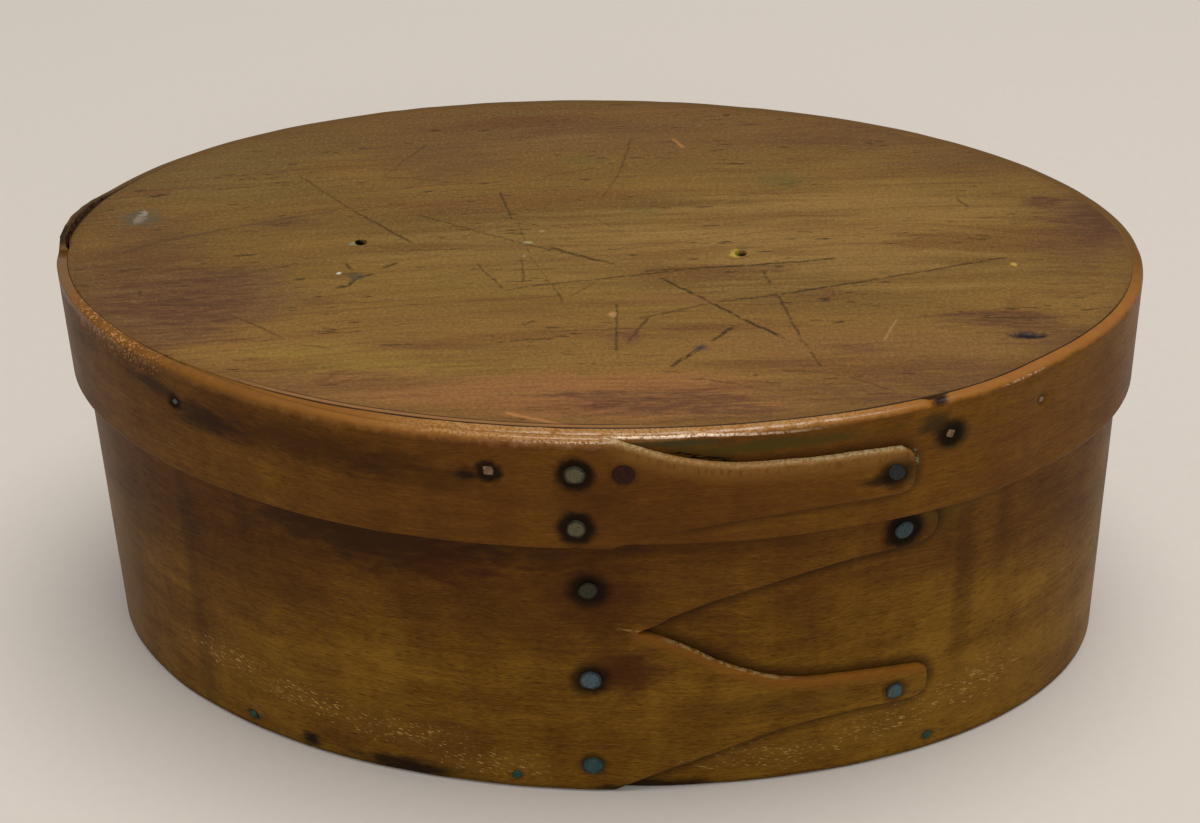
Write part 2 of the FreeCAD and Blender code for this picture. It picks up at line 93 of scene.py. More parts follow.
class BoxSizes(bpy.types.PropertyGroup):
    """Sizes of the box, its laps and its fastenings"""

    half_length: length("Half length", "Half the length of the form inside the body",
                        BODY_HIGH.x - 1.1 * MM)
    half_width: length("Half width", "Half the width of the form inside the body", 33 * MM)
    front_shift: length("Front shift", "How far the ovals sit back of the middle", 0.81 * MM)
    body_wall: length("Body wall", "Thickness of the body's strip", 1.1 * MM)
    lid_wall: length("Lid wall", "Thickness of the lid's strip", 1.15 * MM)
    lid_fit: length("Lid fit", "Gap between the lid and the body", 0.25 * MM)
    lap_wall: length("Lap wall", "Thickness of the outer layer at the fingers", 0.65 * MM)
    lap_gap: length("Lap gap", "Gap between the layers of a lap", 0.05 * MM)
    feather_edge: length("Feather edge", "Thickness of a strip's thin end", 0.15 * MM)
    body_start: angle("Body strip start", "Where the body's strip starts", -140)
    lid_start: angle("Lid strip start", "Where the lid's strip starts", -132)
    body_height: length("Body height", "Height of the body's strip", BODY_HIGH.z)
    lid_foot: length("Lid foot", "Height of the lid's lower edge", LID_LOW.z)
    lid_top: length("Lid top", "Height of the lid's board", BOARD_HIGH.z)
    rim_wear: length("Rim wear", "How round the lid's upper edge is worn", 0.55 * MM)
    finger_wear: length("Finger wear", "How round the edges of the fingers are", 0.4 * MM)
    sprung_rise: length("Sprung rise", "How far the lid's strip has sprung up at one end",
                        LID_HIGH.z - BOARD_HIGH.z - 0.03 * MM)
    tack_head: length("Tack head", "Diameter of a tack's head", 2.5 * MM)
    lid_pin: length("Lid pin", "Width of a wooden pin of the lid", 1.05 * MM)
    bottom_pin: length("Bottom pin", "Width of a pin of the bottom", 0.95 * MM)


class BoxColours(bpy.types.PropertyGroup):
    """Colours of the box's woods and metals"""

    honey: colour("Honey", "Thin varnish over pale wood", 132, 94, 24)
    chestnut: colour("Chestnut", "Thicker varnish", 96, 61, 12)
    dark_varnish: colour("Dark varnish", "Varnish darkened by handling", 54, 30, 5)
    worn_edge: colour("Worn edge", "Edges rubbed to an orange colour", 160, 106, 48)
    board_ochre: colour("Board ochre", "The lid's board", 128, 94, 38)
    board_olive: colour("Board olive", "The duller parts of the lid's board", 106, 79, 32)
    board_red: colour("Board red", "Reddish streaks of the lid's board", 108, 62, 28)
    stain: colour("Stain", "Purple-brown stains", 80, 46, 30)
    scratch: colour("Scratch", "Dirt in the scratches", 44, 31, 12)
    raw_inside: colour("Raw inside", "Bare wood inside the box", 164, 126, 80)
    tack_dark: colour("Tack dark", "Olive-grey patina of a tack", 100, 94, 68)
    tack_blue: colour("Tack blue", "Blue-grey patina of a tack", 76, 100, 106)
    verdigris: colour("Verdigris", "Green-blue patina", 40, 96, 86)
    pin_wood: colour("Pin wood", "End grain of the wooden pins", 146, 118, 94)
    plug_wood: colour("Plug wood", "The reddish-brown plug", 56, 26, 10)
    floor: colour("Floor", "The plain pale floor", 222, 213, 203)


def size(name):
    """A size of the box, in millimetres."""
    return getattr(bpy.context.scene.oval_box_sizes, name) / MM


def degrees(name):
    """An angle of the box, in degrees."""
    return math.degrees(getattr(bpy.context.scene.oval_box_sizes, name))


def paint(name):
    """A colour of the box, as a node's socket takes it."""
    return (*getattr(bpy.context.scene.oval_box_colours, name), 1)


# --- node trees written as expressions -----------------------------------------------------


def socket_of(sockets, key):
    if isinstance(key, int):
        return sockets[key]
    return next(s for s in sockets if s.enabled and key in (s.identifier, s.name))


def joined(operation, swapped=False):
    """A method of Field: it joins the field and what it is given, in that order or swapped."""
    def method(self, *others):
        return self.join(operation, *((*others, self) if swapped else (self, *others)))
    return method


class Field:
    """A number, colour or vector that varies, as the socket of a node that gives it."""

    def __init__(self, tree, socket):
        self.tree = tree
        self.socket = socket

    def join(self, operation, *values):
        kind = "ShaderNodeMath" if self.socket.type in ("VALUE", "INT") else "ShaderNodeVectorMath"
        return self.tree.node(kind, {"operation": operation}, dict(enumerate(values)))

    __add__, __radd__ = joined("ADD"), joined("ADD", swapped=True)
    __sub__, __rsub__ = joined("SUBTRACT"), joined("SUBTRACT", swapped=True)
    __mul__, __rmul__ = joined("MULTIPLY"), joined("MULTIPLY", swapped=True)
    __truediv__, __rtruediv__ = joined("DIVIDE"), joined("DIVIDE", swapped=True)
    __abs__ = joined("ABSOLUTE")
    most = joined("MAXIMUM")
    fraction = joined("FRACT")

    def ease(self, low, high):
        """0 at low and 1 at high, smooth between. Low may be the greater."""
        bounds = {"Value": self, "From Min": low, "From Max": high}
        return self.tree.node("ShaderNodeMapRange", {"interpolation_type": "SMOOTHSTEP"}, bounds)

    def part(self, index):
        return self.tree.node("ShaderNodeSeparateXYZ", {}, {0: self}, index)

    def measure(self, operation, other):
        """A number that two vectors give."""
        values = {0: self, 1: other}
        return self.tree.node("ShaderNodeVectorMath", {"operation": operation}, values, "Value")

    def distance(self, point):
        return self.measure("DISTANCE", point)

    def dot(self, direction):
        return self.measure("DOT_PRODUCT", direction)


class Tree:
    """A node tree to which nodes are added one by one."""

    def __init__(self, node_tree):
        self.node_tree = node_tree

    def node(self, kind, settings=None, values=None, output=0):
        """Adds a node: its settings first, then a value or a link for each socket named."""
        node = self.node_tree.nodes.new(kind)
        for key, value in (settings or {}).items():
            setattr(node, key, value)
        for key, value in (values or {}).items():
            socket = socket_of(node.inputs, key)
            if isinstance(value, Field):
                self.node_tree.links.new(value.socket, socket)
            else:
                socket.default_value = value
        return None if output is None else Field(self, socket_of(node.outputs, output))

    def vector(self, x=0, y=0, z=0):
        return self.node("ShaderNodeCombineXYZ", {}, {"X": x, "Y": y, "Z": z})

    def carried(self, name, kind="FLOAT"):
        """What each point of a mesh carries under a name, for a geometry tree."""
        return self.node("GeometryNodeInputNamedAttribute", {"data_type": kind}, {"Name": name},
                         "Attribute")

    def noise(self, place, scale=1, detail=3, roughness=0.55, warp=0, output=0):
        """Smooth noise about 0.5. Output 1 is three of them as a colour."""
        values = {"Vector": place, "Scale": scale, "Detail": detail, "Roughness": roughness,
                  "Distortion": warp}
        return self.node("ShaderNodeTexNoise", {}, values, output)

    def drawn_out(self, x, y, z, detail=3, roughness=0.55, warp=0):
        """Noise that is drawn out along a coordinate as far as it is shrunk."""
        return self.noise(self.vector(x, y, z), 1, detail, roughness, warp)

    def mix(self, factor, first, second, mode="MIX"):
        """The second colour laid over the first, as far as factor says."""
        settings = {"data_type": "RGBA", "blend_type": mode}
        values = {"Factor_Float": factor, "A_Color": first, "B_Color": second}
        return self.node("ShaderNodeMix", settings, values, "Result_Color")


class Finish(Tree):
    """A material, built up in layers. Its place is the object's own, in millimetres."""

    def __init__(self, name):
        self.material = bpy.data.materials.new(name)
        self.material.use_nodes = True
        self.material.node_tree.nodes.clear()
        super().__init__(self.material.node_tree)
        coordinates = self.node("ShaderNodeTexCoord", {}, {}, "Object")
        self.place = self.node("ShaderNodeVectorMath", {"operation": "SCALE"},
                               {0: coordinates, "Scale": 1 / MM})
        self.colour = None

    def axes(self):
        """X, Y and height."""
        return [self.place.part(i) for i in range(3)]

    def mark(self, name):
        """A number that the piece's mesh carries at each of its points."""
        return self.node("ShaderNodeAttribute", {"attribute_name": name}, {}, "Fac")

    def ragged(self, reach, grain):
        """The place, pushed about so that the edge of a patch drawn by it is uneven."""
        pushed = self.noise(self.place, 1 / grain, 3, 0.6, output=1)
        return self.place + (pushed - (0.5, 0.5, 0.5)) * ((reach * 2,) * 3)

    def flat(self, first, second):
        """Two coordinates as a place on a flat sheet, for blots and strokes."""
        return self.vector(first, second, 1)

    def blot(self, flat, oval, frayed=0):
        """A frayed patch on a flat sheet, from an oval's centre and half sizes."""
        shifted = (flat - (*oval[:2], 1)) / (*oval[2:], 1)
        return (shifted.distance((0, 0, 0)) + frayed).ease(1.2, 0.3)

    def stroke(self, flat, ends, width):
        """A thin line on a flat sheet, from one end to the other."""
        x1, y1, x2, y2 = ends
        run = math.hypot(x2 - x1, y2 - y1)
        ux, uy = (x2 - x1) / run, (y2 - y1) / run
        beside = abs(flat.dot((-uy, ux, x1 * uy - y1 * ux)))
        past = abs(flat.dot((ux, uy, -(x1 * ux + y1 * uy + run / 2))))
        return beside.ease(width, width * 0.3) * past.ease(run / 2 + 0.3, run / 2 - 0.6)

    def lay(self, mask, colour):
        """Lays a colour over what is there, as far as the mask says."""
        self.colour = self.mix(mask, self.colour, colour)

    def lay_blots(self, flat, table, frayed, share=None):
        """Lays oval patches: each a centre, half sizes, a strength and a colour."""
        for *oval, strength, colour in table:
            blot = self.blot(flat, oval, frayed)
            blot = blot if share is None else blot * share
            self.lay(blot * strength, rgb(*colour))

    def close(self, roughness, height, relief, metallic=0, **plain):
        """The surface itself. Relief is how deep the bump is, in millimetres."""
        normal = self.node("ShaderNodeBump", {}, {"Height": height, "Distance": relief * MM})
        values = {"Base Color": self.colour, "Roughness": roughness, "Normal": normal,
                  "Metallic": metallic}
        values.update({key.replace("_", " "): value for key, value in plain.items()})
        shader = self.node("ShaderNodeBsdfPrincipled", {}, values)
        self.node("ShaderNodeOutputMaterial", {}, {"Surface": shader}, None)
        return self.material


def most_of(fields):
    """The greatest of several fields at each point."""
    most = 0
    for field in fields:
        most = field.most(most)
    return most


# --- shapes --------------------------------------------------------------------------------

# Numbers with no common measure: they give each lump a height of its own.
SHUFFLE = (127.1, 311.7, 74.7)
SHUFFLE_REACH = 43758.5453
SEED_STEP = 17.31

# How far hand-bent walls dip inwards: everywhere, and in lumps, each a depth, a width and a seed.
DIP = 0.05
DIP_LUMPS = ((0.035, 21, 1), (0.015, 7, 2))

# X of the front, in millimetres: where the laps end, and the tips of the body's fingers.
LAP_END_X = 34.5
FINGERTIP_X = 36.2

# Where the lid's strip comes back to the body past those tips, and over what run, in degrees.
SETTLE_START = 1.5
SETTLE_RUN = 15


def ease(low, high, value):
    """0 up to low and 1 from high on, smooth between, for numbers and arrays."""
    share = np.clip((value - low) / (high - low), 0, 1)
    return share * share * (3 - 2 * share)


def lumps(points, grain, seed):
    """Smooth noise from -1 to 1, with lumps about as wide as grain."""
    cells = np.asarray(points, float) / grain + seed * SEED_STEP
    low = np.floor(cells)
    part = cells - low
    part = part * part * (3 - 2 * part)
    total = np.zeros(len(cells))
    for corner in np.ndindex(*(2,) * cells.shape[1]):
        weight = np.prod(np.where(corner, part, 1 - part), axis=1)
        shuffled = np.sin((low + corner) @ SHUFFLE[:cells.shape[1]] + seed) * SHUFFLE_REACH
        total += weight * (shuffled - np.floor(shuffled))
    return total * 2 - 1


def lumps_along(places, grain, seed):
    """Such noise along the oval, for places in degrees."""
    return lumps(np.column_stack([places, 0 * places]), grain, seed)


def half_turned(place):
    """The same place, between minus and plus half a turn."""
    return (place + HALF_TURN) % FULL_TURN - HALF_TURN


def on_oval(place, offset):
    """The point of the oval at a place, in degrees, and an offset from the form."""
    turn = np.radians(place)
    along = (size("half_length") + offset) * np.cos(turn)
    across = (size("half_width") + offset) * np.sin(turn) + size("front_shift")
    return np.stack([along, across], axis=-1)


def front_place(x, offset):
    """The place on the front whose X is given."""
    return -np.degrees(np.arccos(np.asarray(x, float) / (size("half_length") + offset)))


def waves(place, offset, rise):
    """How far the walls dip inwards, as hand-bent wood does."""
    points = np.column_stack([on_oval(place, 0 * place + offset), rise])
    return sum((depth * lumps(points, grain, seed) for depth, grain, seed in DIP_LUMPS), DIP)


class Strip:
    """The wall of the body or the lid: one strip that laps over its own start."""

    # Degrees over which the start thickens, and over which the outer layer climbs onto it.
    full_run = 28
    rise_run = 10
    # Where the strip is measured: degrees before its start, its last place and the steps.
    lead = 12
    last_place = 330
    steps = 6000

    def __init__(self, wall, start, inner_offset):
        self.wall = wall
        self.start = start
        self.inner_offset = inner_offset
        self.places = np.linspace(start - self.lead, self.last_place, self.steps)
        gaps = np.hypot(*np.diff(on_oval(self.places, wall), axis=0).T)
        self.lengths = np.concatenate([[0], np.cumsum(gaps)])

    def length_at(self, place):
        return np.interp(place, self.places, self.lengths)

    def place_at(self, length):
        return np.interp(length, self.lengths, self.places)

    def first_layer(self, place):
        """Thickness of the inner layer: it thins to a feather edge at its start."""
        edge = size("feather_edge")
        return edge + (self.wall - edge) * ease(self.start, self.start + self.full_run, place)

    def inner(self, place):
        """The offset of the inner face, which climbs onto the start where the strip laps."""
        lap = place - FULL_TURN
        edge = size("feather_edge")
        lifted = (edge + size("lap_gap")) * ease(self.start - self.rise_run, self.start, lap)
        return self.inner_offset(place) + lifted + self.first_layer(lap) - edge

    def outer(self, place):
        """The offset of the outer face."""
        lap = place - FULL_TURN
        single = self.inner_offset(place) + self.first_layer(place)
        thinned = (self.wall - size("lap_wall")) * ease(self.start, self.start + self.full_run, lap)
        lapped = self.inner(place) + self.wall - thinned
        return np.where(lap < self.start - self.rise_run, single, lapped)

    def lap_offset(self):
        """The offset of the outer layer's face at the fingers, on the bare form."""
        return self.wall + size("lap_wall") + size("lap_gap")

    def shown_turn(self, place):
        """The strip's own turn that is seen at a place: the outer layer's where it laps."""
        return np.where(place < front_place(LAP_END_X, self.wall), place + FULL_TURN, place)

    def shown(self, place):
        """The offset that is seen at a place of the oval."""
        return self.outer(self.shown_turn(place))


def body_strip():
    return Strip(size("body_wall"), degrees("body_start"), lambda place: 0 * place)


def lid_strip():
    """The lid's wall follows the body, laps and all, at its clearance."""
    body = body_strip()
    settling = front_place(FINGERTIP_X, body.lap_offset()) + SETTLE_START

    def inner_offset(place):
        turned = half_turned(place)
        lifted = body.outer(turned + FULL_TURN) - body.wall
        lifted = np.where(turned < body.start - body.rise_run, 0, lifted)
        settled = 1 - ease(settling, settling + SETTLE_RUN, turned)
        return body.wall + size("lid_fit") + lifted * settled

    return Strip(size("lid_wall"), degrees("lid_start"), inner_offset)


def soft_curve(points, spacing, steps=12):
    """A smooth line through given points, as evenly spaced points."""
    points = np.asarray(points, float)
    ends = np.vstack([2 * points[0] - points[1], points, 2 * points[-1] - points[-2]])
    fine = []
    for a, b, c, d in zip(ends, ends[1:], ends[2:], ends[3:]):
        t = np.linspace(0, 1, steps, endpoint=False)[:, None]
        fine.append(0.5 * (2 * b + (c - a) * t + (2 * a - 5 * b + 4 * c - d) * t ** 2
                           + (3 * b - a - 3 * c + d) * t ** 3))
    return evenly(np.vstack(fine + [points[-1:]]), spacing)


def evenly(points, spacing):
    """A line cut into even steps of about the given spacing."""
    points = np.asarray(points, float)
    run = np.concatenate([[0], np.cumsum(np.hypot(*np.diff(points, axis=0).T))])
    count = max(2, round(run[-1] / spacing) + 1)
    places = np.linspace(0, run[-1], count)
    return np.column_stack([np.interp(places, run, column) for column in points.T])


class Outline:
    """The closed edge of a flat blank, with how far each run of it is rounded."""

    def __init__(self):
        self.points = np.zeros((0, 2))
        self.radii = []
        self.kinds = []

    def run(self, points, radius, kind):
        """Adds a run, with one radius or one for each point. Its last point is the next run's."""
        self.points = np.vstack([self.points, points[:-1]])
        self.radii += list(np.broadcast_to(radius, len(points))[:-1])
        self.kinds += [kind] * (len(points) - 1)

    def nearest(self, points, kinds=None):
        """Distance from each point to the outline, and which step of it is nearest."""
        chosen = [i for i, kind in enumerate(self.kinds) if kinds is None or kind in kinds]
        start = self.points[chosen]
        step = np.roll(self.points, -1, axis=0)[chosen] - start
        squares = np.maximum((step ** 2).sum(1), 1e-12)
        far, which = [], []
        for chunk in in_chunks(points, 1500):
            apart = chunk[:, None] - start[None]
            share = np.clip((apart * step).sum(2) / squares, 0, 1)
            gaps = ((apart - share[..., None] * step) ** 2).sum(2)
            best = gaps.argmin(1)
            which.append(best)
            far.append(np.sqrt(gaps[np.arange(len(chunk)), best]))
        return np.concatenate(far), np.array(chosen)[np.concatenate(which)]

    def clear(self, points, gap):
        """The points that lie further than gap from the outline."""
        return points[self.nearest(points)[0] > gap]

    def holds(self, points):
        """Whether each point lies inside the outline."""
        x, y = points.T
        inside = np.zeros(len(points), bool)
        for (x1, y1), (x2, y2) in zip(self.points, np.roll(self.points, -1, axis=0)):
            if y1 != y2:
                crosses = (y1 > y) != (y2 > y)
                inside ^= crosses & (x < x1 + (y - y1) * (x2 - x1) / (y2 - y1))
        return inside

    def rows(self, distances):
        """Points inside the outline, in rows that follow it."""
        along = np.roll(self.points, -1, axis=0) - np.roll(self.points, 1, axis=0)
        inward = np.column_stack([-along[:, 1], along[:, 0]])
        inward /= np.linalg.norm(inward, axis=1)[:, None]
        return np.vstack([self.clear(self.points + inward * distance, distance * 0.93)
                          for distance in distances])


def in_chunks(points, count):
    """The points in parts of about so many, so that no table of distances grows too big."""
    return np.array_split(points, max(1, len(points) // count))


def grid(low, high, step):
    """An even grid of points, every other row moved by half a step."""
    xs = np.arange(low[0], high[0], step[0])
    ys = np.arange(low[1], high[1], step[1])
    return np.array([(x + (row % 2) * step[0] / 2, y) for row, y in enumerate(ys) for x in xs])


def circle(count):
    turns = np.linspace(0, math.tau, count, endpoint=False)
    return np.column_stack([np.cos(turns), np.sin(turns)])


def rings(centre, radii, count=18):
    """A centre and rings of points round it."""
    centre = np.array(centre)
    return np.vstack([centre[None]] + [centre + circle(count) * radius for radius in radii])


def thin_out(points, kept, gap):
    """The points that lie further than gap from all those kept."""
    clear = np.ones(len(points), bool)
    for chunk in in_chunks(kept, 400):
        gaps = np.hypot(*(points[:, None] - chunk[None]).transpose(2, 0, 1))
        clear &= gaps.min(1) > gap
    return points[clear]


def filled(outline, inside):
    """Triangles that fill an outline through the points inside it: points and corners."""
    count = len(outline.points)
    edges = [(i, (i + 1) % count) for i in range(count)]
    places = [Vector(p) for p in np.vstack([outline.points, inside])]
    found = delaunay_2d_cdt(places, edges, [], 1, 1e-6)
    points = np.array([tuple(p) for p in found[0]])
    corners = np.array([tuple(face) for face in found[2]])
    used, corners = np.unique(corners, return_inverse=True)
    corners = corners.reshape(-1, 3)
    points = points[used]
    (ax, ay), (bx, by), (cx, cy) = [points[column].T for column in corners.T]
    signed = (bx - ax) * (cy - ay) - (by - ay) * (cx - ax)
    corners[signed < 0] = corners[signed < 0][:, ::-1]
    return points, corners[abs(signed) > 1e-9]


def carry(mesh, name, values, kind="FLOAT"):
    """Gives each point of a mesh a number, or a vector, under a name."""
    layer = mesh.attributes.new(name, kind, "POINT")
    key = "value" if kind == "FLOAT" else "vector"
    layer.data.foreach_set(key, np.asarray(values, np.float32).ravel())


def placed(name, data):
    """A new object in the scene."""
    item = bpy.data.objects.new(name, data)
    bpy.context.scene.collection.objects.link(item)
    return item


def closed_blank(name, corners, front, back, marks, grain=None):
    """A closed mesh from one set of triangles, with a front, a back and an edge between.

    Marks are numbers for each point of the front and then of the back.
    """
    count = len(front)
    sides = np.vstack([corners[:, [0, 1]], corners[:, [1, 2]], corners[:, [2, 0]]])
    there = {(int(a), int(b)) for a, b in sides}
    rim = [(a, a + count, b + count, b) for a, b in sorted(there) if (b, a) not in there]
    faces = corners.tolist() + (corners[:, ::-1] + count).tolist() + rim
    mesh = bpy.data.meshes.new(name)
    mesh.from_pydata((np.vstack([front, back]) * MM).tolist(), [], faces)
    for mark, values in marks.items():
        carry(mesh, mark, values)
    if grain is not None:
        ends = np.zeros(len(mesh.loops), np.int32)
        mesh.loops.foreach_get("vertex_index", ends)
        layer = mesh.uv_layers.new(name="grain")
        layer.data.foreach_set("uv", np.vstack([grain, grain])[ends].astype(np.float32).ravel())
    mesh.validate()
    return placed(name, mesh)


def rounding(distance, radius):
    """How far a face falls towards an edge that is rounded to a radius."""
    left = np.clip(radius - distance, 0, radius)
    return radius - np.sqrt(np.maximum(radius ** 2 - left ** 2, 0))


def pit(points, centre, inner, outer, depth):
    """A round pit with an eased wall."""
    return depth * (1 - ease(inner, outer, np.hypot(*(points - centre).T)))


def smooth(mesh, sharp_degrees):
    mesh.shade_smooth()
    mesh.set_sharp_from_angle(angle=math.radians(sharp_degrees))


# --- geometry trees ------------------------------------------------------------------------


def geometry_tree(name, inputs):
    """A tree with named inputs. Returns it with a field for each input."""
    group = bpy.data.node_groups.new(name, "GeometryNodeTree")
    sockets = {"Geometry": "Geometry", **inputs}
    for label, kind in sockets.items():
        group.interface.new_socket(label, in_out="INPUT", socket_type=f"NodeSocket{kind}")
    group.interface.new_socket("Geometry", in_out="OUTPUT", socket_type="NodeSocketGeometry")
    tree = Tree(group)
    entry = group.nodes.new("NodeGroupInput")
    return tree, {label: Field(tree, entry.outputs[label]) for label in sockets}


def end_tree(tree, geometry, finish):
    real = tree.node("GeometryNodeRealizeInstances", {}, {"Geometry": geometry})
    painted = tree.node("GeometryNodeSetMaterial", {}, {"Geometry": real, "Material": finish})
    tree.node("NodeGroupOutput", {}, {0: painted}, None)
    return tree.node_tree


def bending_tree():
    """Bends a flat strip round the oval. Each point's turn says where it comes to lie."""
    tree, given = geometry_tree("bend round the oval", {
        "Half Length": "Float", "Half Width": "Float", "Front Shift": "Float",
        "Finish": "Material"})
    turn = tree.carried("turn")
    flat = tree.node("GeometryNodeInputPosition")
    offset = 0 - flat.part(1)
    along = (given["Half Length"] + offset) * turn.join("COSINE", turn)
    across = (given["Half Width"] + offset) * turn.join("SINE", turn) + given["Front Shift"]
    bent = tree.node("GeometryNodeSetPosition", {}, {
        "Geometry": given["Geometry"], "Position": tree.vector(along, across, flat.part(2))})
    return end_tree(tree, bent, given["Finish"])


def fastening_tree():
    """Sets a copy of a fastening on each point, facing its way, and roughens it."""
    tree, given = geometry_tree("fastenings on points", {
        "Fastening": "Object", "Hammering": "Float", "Hammer Grain": "Float", "Seed": "Int",
        "Finish": "Material"})
    stood = tree.node("FunctionNodeAlignRotationToVector", {"axis": "Z"},
                      {"Vector": tree.carried("facing", "FLOAT_VECTOR")})
    spin = tree.node("FunctionNodeAxisAngleToRotation", {},
                     {"Axis": (0, 0, 1), "Angle": tree.carried("turned")})
    rotation = tree.node("FunctionNodeRotateRotation", {"rotation_space": "LOCAL"},
                         {"Rotation": stood, "Rotate By": spin})
    shape = tree.node("GeometryNodeObjectInfo", {}, {"Object": given["Fastening"]}, "Geometry")
    set_out = tree.node("GeometryNodeInstanceOnPoints", {}, {
        "Points": given["Geometry"], "Instance": shape, "Rotation": rotation,
        "Scale": tree.carried("girth", "FLOAT_VECTOR")})
    real = tree.node("GeometryNodeRealizeInstances", {}, {"Geometry": set_out})
    blows = tree.node("ShaderNodeTexNoise", {"noise_dimensions": "4D"}, {
        "Vector": tree.node("GeometryNodeInputPosition"), "W": given["Seed"] * 3.7,
        "Scale": 1 / given["Hammer Grain"], "Detail": 2}, "Color")
    depth = given["Hammering"]
    pushed = (blows - (0.5, 0.5, 0.5)) * tree.vector(depth, depth, depth)
    dented = tree.node("GeometryNodeSetPosition", {}, {"Geometry": real, "Offset": pushed})
    return end_tree(tree, dented, given["Finish"])


def shaped_by(tree, piece, values):
    """Runs a geometry tree on a piece, and keeps the plain mesh that it makes."""
    modifier = piece.modifiers.new(tree.name, "NODES")
    modifier.node_group = tree
    for item in tree.interface.items_tree:
        if item.in_out == "INPUT" and item.name in values:
            modifier[item.identifier] = values[item.name]
    graph = bpy.context.evaluated_depsgraph_get()
    mesh = bpy.data.meshes.new_from_object(piece.evaluated_get(graph),
                                           preserve_all_data_layers=True, depsgraph=graph)
    piece.modifiers.clear()
    piece.data = mesh
    mesh.name = piece.name
    return piece


# --- the two bands -------------------------------------------------------------------------

# Spacing of points, in millimetres: along drawn fingers, along plain edges, in rows beside an
# edge, and on the open parts of a band, which are coarse away from its laps.
FINGER_STEPS = {"foot": 0.4, "tip": 0.4, "top": 0.4, "notch": 0.12}
PLAIN_STEP = 1.2
LID_RIM_STEP = 0.5
EDGE_ROWS = (0.05, 0.13, 0.25, 0.42, 0.65, 1)
COARSE_STEPS = (1.7, 1.5)
FINE_STEPS = (0.8, 0.8)
FINE_FROM_X = -4
FINE_TO_X = 40
TOP_ROUGHNESS = 0.05

# The fingers, drawn from the front as X and height. Each run has its kind, its share of the
# wear and its points.
BODY_RUNS = [
    ("foot", 0.8, [(4.2, 0.05), (5.8, 0.9), (9.2, 2.6), (13.4, 4.3), (17.5, 5.9), (21.8, 7.3),
                   (26.1, 8), (30.3, 8.2), (33.8, 8.1), (35.2, 8.2)]),
    ("tip", 1, [(35.2, 8.2), (36, 8.8), (36.25, 9.8), (36.15, 11.3), (35.85, 11.95),
                (35.2, 12.25)]),
    ("top", 1, [(35.2, 12.25), (31.1, 12.8), (26.8, 13.2), (23.4, 13.45), (20.1, 14.3),
                (17.8, 15.3), (15, 16.7), (12.8, 18.2), (10, 19.7), (8.4, 20.5),
                (7.2, 20.75)]),
    ("notch", 0.5, [(7.2, 20.75), (6.9, 20.85), (7.1, 20.97)]),
    ("foot", 0.8, [(7.1, 20.97), (8.6, 21.6), (10.2, 22.6), (12, 23.4), (14.75, 24.5),
                   (19.6, 25.9), (24, 27), (28, 27.7), (32.4, 27.95), (34.6, 28)]),
    ("tip", 1, [(34.6, 28), (35.7, 28.6), (36.2, 29.8), (36.15, 31.1), (35.5, 32),
                (34.3, 32.4)]),
    ("foot", 1, [(34.3, 32.4), (26, 32.75), (19.3, 33.5), (12.5, 35.3), (8.3, 37.2),
                 (5.6, 38.7), (4.8, 39.4)]),
]
LID_RUNS = [
    ("foot", 0.8, [(4.6, 32.6), (6.2, 33.2), (8.4, 33.95), (12.8, 34.8), (16.8, 35.4),
                   (20.4, 35.75), (26.1, 36.1), (30.4, 36.05), (32.4, 36.05)]),
    ("tip", 1, [(32.4, 36.05), (33.2, 36.5), (33.55, 37.6), (33.5, 39.4), (33.15, 40.6),
                (32.2, 41.35)]),
    ("top", 1, [(32.2, 41.35), (27.8, 41.6), (22.2, 41.7), (17, 41.85), (14.7, 42.15),
                (11.9, 42.75), (9.4, 43.5), (6.9, 44.4), (5.2, 45.1), (4.4, 45.4)]),
]

# The seat that a fastening has pressed into a band: the radii of its rings and of its wall, as
# shares of its own radius, and its depth.
SEAT_RINGS = (0.5, 0.85, 1, 1.2, 1.5)
SEAT_WALL = (0.9, 1.45)
SEAT_DEPTH = 0.12
TACK_SEAT = 1.3
BOTTOM_PIN_SEAT = 0.55
LID_PIN_SEAT = 0.6
PLUG_SEAT = 1.15

# How round the hidden edges are, and the least thickness of a band.
CRISP = 0.04
LEAST_WALL = 0.05


def straight(start, end, spacing=PLAIN_STEP):
    return evenly([start, end], spacing)


def band_field(strip, outline, fastenings):
    """Points inside a band's blank: rings round its fastenings, rows by its edge, and a grid."""
    low, high = outline.points.min(0), outline.points.max(0)
    from_length, to_length = strip.length_at(
        front_place([FINE_FROM_X, FINE_TO_X], strip.wall) + FULL_TURN)
    coarse = grid(low, high, COARSE_STEPS)
    beyond = (coarse[:, 0] < from_length) | (coarse[:, 0] > to_length)
    fine = grid((from_length, low[1]), (to_length, high[1]), FINE_STEPS)
    field = outline.clear(np.vstack([coarse[beyond], fine]), EDGE_ROWS[-1] * 1.3)
    pressed = np.vstack([rings(place, [radius * share for share in SEAT_RINGS])
                         for place, radius in fastenings])
    pressed = outline.clear(pressed, 0.1)
    rows = thin_out(outline.rows(EDGE_ROWS), pressed, 0.12)
    return np.vstack([pressed, rows, thin_out(field, pressed, 0.45)])


def band_marks(strip, outline, points, places):
    """What a band's finish reads at each point: its turn, its face and how far its edges are."""
    under = places < HALF_TURN
    laid = np.where(under, strip.length_at(places + FULL_TURN), points[:, 0])
    near = np.column_stack([laid, points[:, 1]])
    side = np.where(under & outline.holds(near), -1, 1)
    marks = {
        "turn": np.radians(places),
        "finger_edge": side * outline.nearest(near, FINGER_STEPS)[0],
        "bright_edge": side * outline.nearest(near, ("top",))[0],
        "layer": (places > HALF_TURN + 20).astype(float),
    }
    both = {name: np.tile(values, 2) for name, values in marks.items()}
    return {**both, "inside": np.repeat([0, 1], len(points))}


